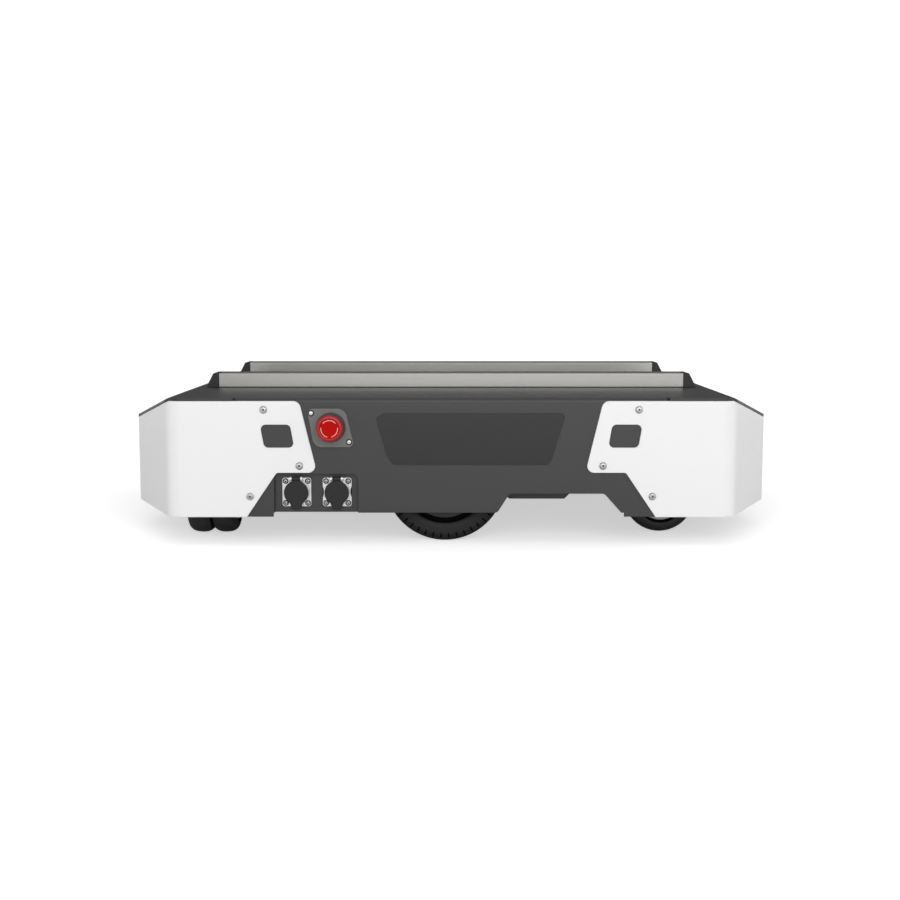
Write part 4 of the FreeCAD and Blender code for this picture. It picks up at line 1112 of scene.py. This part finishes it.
@dataclass
class EmergencyStop:
    """Mushroom head with a rim round its face and three printed arcs."""

    shop: Workshop
    stem_r: float = 4.3 * MM
    stem_depth: float = 4.4 * MM
    rim_w: float = 3.6 * MM
    rim_h: float = 0.9 * MM
    arc_r: float = 8.3 * MM
    arc_w: float = 0.6 * MM
    arc_h: float = 0.3 * MM
    arc_sink: float = 0.1 * MM
    arc_steps: int = 18
    arcs_deg: tuple[tuple[float, float], ...] = ((40, 140), (172, 256), (284, 368))
    steps: int = 96

    def build(self, name: str, side: float) -> None:
        """Make one head and its arcs.

        Args:
            name: right or left.
            side: -1 for the right, 1 for the left.
        """
        node, body = "estop_head_" + name, "estop_knob_" + name
        low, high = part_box(node)
        centre = (low + high) / 2
        radius, height = (high.z - low.z) / 2, high.y - low.y
        outward = Y_AXIS * side
        base = Vector((centre.x, low.y if side > 0 else high.y, centre.z))
        shape = lathe(self.section(radius, height), base, outward, self.steps)
        head = new_object("knob_" + name, shape, self.shop.finishes["estop_red"])
        polished = radius - self.rim_w

        def on_rim(spot: Vector) -> bool:
            """Tell whether a face lies on the rim or outside it."""
            return math.hypot(spot.x - centre.x, spot.z - centre.z) > polished

        second_finish(head, self.shop.finishes["estop_rim"], on_rim)
        self.shop.settle(head, body, "estop_red", node)
        marks = self.arcs(base + outward * (height - self.rim_h - self.arc_sink), outward)
        piece = new_object("knob_arcs_" + name, marks, self.shop.finishes["mark_pale"])
        self.shop.settle(piece, body, "estop_red")

    def section(self, radius: float, height: float) -> Profile:
        """Section of the head: hollow below for the stem, with a low rim round its face.

        Args:
            radius: outer radius.
            height: height above the collar.

        Returns:
            Rows of radius and height.
        """
        face, rim_in = height - self.rim_h, radius - self.rim_w
        corners = [
            (0.0, self.stem_depth, 0),
            (self.stem_r, self.stem_depth, 0),
            (self.stem_r, 0.0, 0.3 * MM),
            (radius - 0.4 * MM, 0.0, 0.6 * MM),
            (radius, 3.2 * MM, 1.5 * MM),
            (radius, height, 2.0 * MM),
            (rim_in + 0.4 * MM, height, 0.9 * MM),
            (rim_in - 0.7 * MM, face, 0.5 * MM),
            (0.0, face, 0),
        ]
        return rounded(corners, 5)

    def arcs(self, centre: Vector, outward: Vector) -> BMesh:
        """Three thin raised arcs on the head's face.

        Args:
            centre: middle of the face.
            outward: direction the face looks in.

        Returns:
            The arcs.
        """
        shape = bmesh.new()
        side = Vector((-outward.y, 0, 0))
        for start, end in self.arcs_deg:
            rings = []
            for k in range(self.arc_steps + 1):
                a = math.radians(start + (end - start) * k / self.arc_steps)
                ray = side * math.cos(a) + Z_AXIS * math.sin(a)
                ring = []
                for reach, rise in ((-0.5, 0.0), (-0.5, 1.0), (0.5, 1.0), (0.5, 0.0)):
                    at = centre + ray * (self.arc_r + reach * self.arc_w) + outward * (rise * self.arc_h)
                    ring.append(shape.verts.new(at))
                rings.append(ring)
            skin(shape, rings)
            shape.faces.new(rings[0])
            shape.faces.new(rings[-1][::-1])
        return outward_faces(shape)


@dataclass
class ScrewSet:
    """Button-head screws with a hexagon socket painted darker as shade, each in a near-black dish of
    painted shadow if it has a dish radius.
    """

    shop: Workshop
    name: str
    head_r: float
    head_h: float
    key_r: float
    dish_r: float = 0.0
    finish: str = "screw_steel"
    key_finish: str = "screw_key"
    steps: int = 24
    dish_sink: float = 0.3 * MM
    dish_rise: float = 0.12 * MM
    edge: float = 0.4  # share of the head's height that stands upright
    bend: float = 0.25  # its rounding, as a share of the head's height
    crown: float = 0.66  # radius of the flat top, as a share of the head's
    key_floor: float = 0.2  # floor of the socket, as a share of the head's height
    land: float = 0.3 * MM  # flat round the socket
    sharp_deg: float = 50.0

    def template(self) -> Object:
        """Make one screw head on the origin, with a hexagon socket painted dark as shade and a stub of its
        shank.

        Returns:
            The screw head.
        """
        r, h, shank = self.head_r, self.head_h, self.head_r * 0.5
        axes = (X_AXIS, Y_AXIS, Z_AXIS)
        section = [(shank, -h, 0), (shank, 0.0, 0), (r, 0.0, 0), (r, h * self.edge, h * self.bend)]
        section += [(r * self.crown, h, h * 0.5), (self.key_r + self.land, h, 0)]
        shape = bmesh.new()
        rings = turned_rings(shape, rounded(section, BEND_STEPS), Vector(), axes, self.steps)
        for along in (h, h * self.key_floor):
            rings.append([shape.verts.new(self.hex_spot(along, k)) for k in range(self.steps)])
        # painted shade: the socket's walls and floor take the darker finish
        recess = skin(shape, rings)[-self.steps :]
        recess.append(shape.faces.new(rings[-1]))
        shape.faces.new(rings[0][::-1])
        # painted shadow: a near-black dish round the head stands for the shade round the screw
        if self.dish_r > 0:
            out, low, high = self.dish_r, -self.dish_sink, self.dish_rise
            dish = [(0.0, low), (out, low), (out, high), (0.0, high)]
            recess += skin(shape, turned_rings(shape, dish, Vector(), axes, self.steps))
        outward_faces(shape)
        shape.faces.index_update()
        marked = {face.index for face in recess}
        made = new_object(self.name + "_template", shape, self.shop.finishes[self.finish], self.sharp_deg)
        mark_painted_shade(made, marked)
        return made

    def hex_spot(self, along: float, k: int) -> Vector:
        """Point k on the outline of the hexagon socket, at a height.

        Args:
            along: height above the seat.
            k: number of the point.

        Returns:
            The point.
        """
        a = 2 * math.pi * k / self.steps
        reach = self.key_r * math.cos(math.pi / 6) / math.cos(a % (math.pi / 3) - math.pi / 6)
        return Vector((reach * math.cos(a), reach * math.sin(a), along))

    def build(self, seats: list[Box], *nodes: str) -> None:
        """Set the screws.

        Args:
            seats: place and outward direction of each head.
            nodes: CAD nodes that the set stands for.
        """
        template = self.template()
        base = seats_mesh(self.name + "_seats", seats)
        main, recess = self.shop.finishes[self.finish], self.shop.finishes[self.key_finish]
        values = {"Template": template, "Material": main, "Recess Material": recess}
        piece = self.shop.seats.apply(self.name, base, values)
        bpy.data.objects.remove(template)
        self.shop.settle(piece, "chassis", "screw_steel", *nodes)


@dataclass
class Fasteners:
    """All the screws that show."""

    shop: Workshop
    cover_head_h: float = 2.2 * MM
    plate_spots: tuple[tuple[float, float], ...] = ((-19.6 * MM, 14.1 * MM), (18.2 * MM, -15.0 * MM))
    socket_pitch: float = 22.4 * MM
    plate_recess: float = 2.5 * MM
    flange_t: float = 2.2 * MM

    def build(self) -> None:
        """Make each set of screws."""
        height = self.cover_head_h
        covers = ScrewSet(self.shop, "cover_screw_heads", head_r=3.9 * MM, head_h=height, key_r=1.4 * MM)
        covers.build(self.cover_seats(), "cover_screws")
        plate = ScrewSet(self.shop, "plate_screw_heads", head_r=2.2 * MM, head_h=1.2 * MM, key_r=0.6 * MM)
        # painted shade: near-black sockets and dishes on the plate and flange screws
        plate.dish_r, plate.finish, plate.key_finish = 3.1 * MM, "stainless", "recess_black"
        plate.build(self.estop_seats())
        flange = ScrewSet(self.shop, "flange_screw_heads", head_r=2.1 * MM, head_h=1.0 * MM, key_r=0.8 * MM)
        flange.dish_r, flange.key_finish = 2.9 * MM, "recess_black"
        flange.build(self.socket_seats())

    def cover_seats(self) -> list[Box]:
        """Seats of the cover screws, read from the CAD screws.

        Returns:
            Points with their outward directions.
        """
        seats = []
        for low, high in islands(self.shop.frame["nodes"]["cover_screws"]):
            size, middle = high - low, (low + high) / 2
            along = 0 if size.x > size.y and size.x > size.z else 1
            sign = math.copysign(1.0, middle[along])
            tip = high[along] if sign > 0 else low[along]
            middle[along] = tip - sign * self.cover_head_h
            seats.append((middle, (X_AXIS, Y_AXIS)[along] * sign))
        return seats

    def estop_seats(self) -> list[Box]:
        """Two screws at the tight corners of each emergency-stop plate.

        Returns:
            Points with their outward directions.
        """
        seats = []
        for name, side in SIDES.items():
            low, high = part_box("estop_plate_" + name)
            head_low, head_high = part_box("estop_head_" + name)
            face = high.y if side > 0 else low.y
            middle = (head_low + head_high) / 2
            for dx, dz in self.plate_spots:
                seats.append((Vector((middle.x + dx, face, middle.z + dz)), Y_AXIS * side))
        return seats

    def socket_seats(self) -> list[Box]:
        """Four screws in each socket flange.

        Returns:
            Points with their outward directions.
        """
        seats, reach = [], self.socket_pitch / 2
        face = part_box("connector_plate")[0].y + self.plate_recess - self.flange_t
        for node in ("charge_socket", "comm_socket"):
            low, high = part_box(node)
            x, z = (low.x + high.x) / 2, low.z + (high.x - low.x) / 2
            for dx in (-reach, reach):
                for dz in (-reach, reach):
                    seats.append((Vector((x + dx, face, z + dz)), -Y_AXIS))
        return seats


@dataclass
class SocketSeal:
    """Black rubber seal that shows in the scallops of the signal socket's flange; it takes the near-black
    painted-shade finish, so it stands for the seal and for the shade there.
    """

    shop: Workshop
    bore_r: float = 10.6 * MM
    corner_r: float = 3.0 * MM
    margin: float = 0.2 * MM
    thickness: float = 0.9 * MM
    recess: float = 2.5 * MM
    steps: int = 64

    def build(self) -> None:
        """Make the seal between the flange and its plate."""
        low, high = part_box("comm_socket")
        half = (high.x - low.x) / 2
        x, z = (low.x + high.x) / 2, low.z + half
        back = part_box("connector_plate")[0].y + self.recess
        front = back - self.thickness
        rays = [Vector((math.cos(a), 0.0, math.sin(a))) for a in self.angles()]
        bore, outline = [self.bore_r] * self.steps, [self.edge(ray, half - self.margin) for ray in rays]
        shape = bmesh.new()
        rings = []
        for y, reaches in ((back, bore), (back, outline), (front, outline), (front, bore)):
            middle = Vector((x, y, z))
            rings.append([shape.verts.new(middle + ray * reach) for ray, reach in zip(rays, reaches)])
        skin(shape, rings + rings[:1])
        # painted shade: the seal is finished near-black as shade as well as rubber
        piece = new_object("comm_seal", outward_faces(shape), self.shop.finishes["recess_black"])
        self.shop.settle(piece, "chassis", "lid_black")

    def angles(self) -> list[float]:
        """Directions round the seal."""
        return [2 * math.pi * k / self.steps for k in range(self.steps)]

    def edge(self, ray: Vector, half: float) -> float:
        """Distance along a ray to the outline of a square with rounded corners.

        Args:
            ray: unit direction in the plane.
            half: half the square's side.

        Returns:
            The distance.
        """
        u, v = abs(ray.x), abs(ray.z)
        flat = half / max(u, v)
        inner = half - self.corner_r
        if min(u, v) * flat <= inner:
            return flat
        along = (u + v) * inner
        across = 2 * inner * inner - self.corner_r**2
        return along + math.sqrt(max(along * along - across, 0.0))


@dataclass
class RubberSpring:
    """Rubber spring, copied in place of its CAD node."""

    shop: Workshop

    def build(self, name: str) -> None:
        """Copy one spring in place of its CAD node.

        Args:
            name: right or left.
        """
        node = "rubber_spring_" + name
        slot = self.shop.slot_of(node)
        piece = new_object("spring_" + name, self.shop.copy_of(node), self.shop.finishes[slot])
        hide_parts(node)
        self.shop.body_of(node)
        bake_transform(piece)
        LOG.info("piece %s bends between its bodies", piece.name)


# ------------------------------------------------------------------ studio


@dataclass(frozen=True)
class Lamp:
    """One square soft light: where it stands, its side in metres, its watts and what it points at."""

    name: str
    place: Triple
    size: float
    power: float
    target: Triple = (0.0, 0.0, 0.1)

    def build(self) -> None:
        """Make the light."""
        data = bpy.data.lights.new(self.name, "AREA")
        data.shape = "SQUARE"
        data.size = self.size
        data.energy = self.power
        lamp = bpy.data.objects.new(self.name, data)
        lamp.location = self.place
        lamp.rotation_mode = "QUATERNION"
        lamp.rotation_quaternion = (Vector(self.target) - Vector(self.place)).to_track_quat("-Z", "Y")
        bpy.context.scene.collection.objects.link(lamp)


@dataclass
class Studio:
    """White floor, soft lights and the camera."""

    lens_mm: float = 52.86
    place: Triple = (0.0, -1.604, 0.25295)
    pitch_deg: float = 6.75
    shift_x: float = -1.2 / 900
    sky_level: float = 0.34
    paper_level: float = 1.1
    floor_glow: float = 0.57
    floor_grey: float = 0.78
    floor_reach: float = 12.0
    floor_rough: float = 0.95
    floor_fade: tuple[float, float] = (0.7, 1.5)
    sky_back: tuple[float, float] = (0.1, 0.8)
    sky_low: tuple[float, float] = (0.1, 0.7)
    lamps: tuple[Lamp, ...] = (
        Lamp("overhead", (0.0, -0.4, 2.6), 3.0, 8.0, (0.0, 0.0, 0.0)),
        Lamp("front", (0.35, -3.3, 0.95), 3.0, 72.0),
        Lamp("right_side", (3.0, -0.9, 0.9), 2.0, 11.5),
        Lamp("left_side", (-3.0, -0.9, 0.9), 2.0, 11.0),
        Lamp("back", (0.0, 2.6, 2.4), 2.2, 3.0),
        Lamp("back_right", (2.7, 2.7, 0.8), 2.0, 24.0),
        Lamp("back_left", (-2.7, 2.7, 0.8), 2.0, 24.0),
    )

    def build(self) -> None:
        """Make the camera, the floor, the world and the lights."""
        data = bpy.data.cameras.new("camera")
        data.lens = self.lens_mm
        data.shift_x = self.shift_x
        camera = bpy.data.objects.new("camera", data)
        camera.location = self.place
        camera.rotation_euler = (math.radians(90 - self.pitch_deg), 0, 0)
        bpy.context.scene.collection.objects.link(camera)
        bpy.context.scene.camera = camera
        bpy.context.scene.view_settings.view_transform = "Standard"
        self.floor()
        self.world()
        for lamp in self.lamps:
            lamp.build()

    def floor(self) -> None:
        """White floor that fades into paper white round the robot."""
        mesh = bpy.data.meshes.new("floor")
        r = self.floor_reach
        mesh.from_pydata([(-r, -r, 0), (r, -r, 0), (r, r, 0), (-r, r, 0)], [], [(0, 1, 2, 3)])
        floor = place_mesh("floor", mesh)
        material = bpy.data.materials.new("white floor")
        material.use_nodes = True
        graph = Graph(material.node_tree)
        matt = material.node_tree.nodes["Principled BSDF"]
        grey = (self.floor_grey, self.floor_grey, self.floor_grey, 1.0)
        graph.fill(matt, {"Base Color": grey, "Roughness": self.floor_rough, "Specular IOR Level": 0.0})
        glow, paper = (
            graph.result("ShaderNodeEmission", {"Strength": level})
            for level in (self.floor_glow, self.paper_level)
        )
        place = graph.node("ShaderNodeTexCoord").outputs["Object"]
        reach = graph.node("ShaderNodeVectorMath", {0: place}, operation="LENGTH").outputs["Value"]
        spread = {"Value": reach, "From Min": self.floor_fade[0], "From Max": self.floor_fade[1]}
        fade = graph.result("ShaderNodeMapRange", spread, interpolation_type="SMOOTHSTEP")
        lifted = graph.result("ShaderNodeAddShader", {0: matt.outputs[0], 1: glow})
        seen = graph.result("ShaderNodeMixShader", {"Fac": fade, 1: lifted, 2: paper})
        direct = graph.node("ShaderNodeLightPath").outputs["Is Camera Ray"]
        final = graph.result("ShaderNodeMixShader", {"Fac": direct, 1: matt.outputs[0], 2: seen})
        graph.fill(material.node_tree.nodes["Material Output"], {"Surface": final})
        mesh.materials.append(material)

    def world(self) -> None:
        """Dim even sky, darker low at the back, plain white where the camera looks past the object."""
        world = bpy.data.worlds.new("studio")
        bpy.context.scene.world = world
        world.use_nodes = True
        world.node_tree.nodes.clear()
        graph = Graph(world.node_tree)
        place = graph.node("ShaderNodeTexCoord").outputs["Generated"]
        parts = graph.node("ShaderNodeSeparateXYZ", {0: place}).outputs
        (near, far), (base, top) = self.sky_back, self.sky_low
        behind = {"Value": parts["Y"], "From Min": near, "From Max": far}
        below = {"Value": parts["Z"], "From Min": base, "From Max": top, "To Min": 1.0, "To Max": 0.0}
        back, low = (graph.result("ShaderNodeMapRange", span) for span in (behind, below))
        dimmed = {"Value": graph.calc("MULTIPLY", back, low), "To Min": self.sky_level, "To Max": 0.0}
        level = graph.result("ShaderNodeMapRange", dimmed)
        sky, paper = (
            graph.result("ShaderNodeBackground", {"Color": WHITE, "Strength": strength})
            for strength in (level, self.paper_level)
        )
        direct = graph.node("ShaderNodeLightPath").outputs["Is Camera Ray"]
        mix = graph.result("ShaderNodeMixShader", {"Fac": direct, 1: sky, 2: paper})
        graph.node("ShaderNodeOutputWorld", {"Surface": mix})


def main() -> None:
    """Dress the robot."""
    logging.basicConfig(level=logging.INFO, format="%(name)s: %(message)s")
    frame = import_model()
    Studio().build()
    shop = Workshop(frame, FinishShelf())
    PlainNodes(shop).build()
    SoftenedParts(shop).build()
    for name, side in SIDES.items():
        DriveTyre(shop).build(name)
        EmergencyStop(shop).build(name, side)
        RubberSpring(shop).build(name)
    for corner in CORNERS:
        for letter in TWINS:
            CasterWheel(shop).build(corner, letter)
    Fasteners(shop).build()
    SocketSeal(shop).build()
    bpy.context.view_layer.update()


if __name__ == "__main__":
    main()
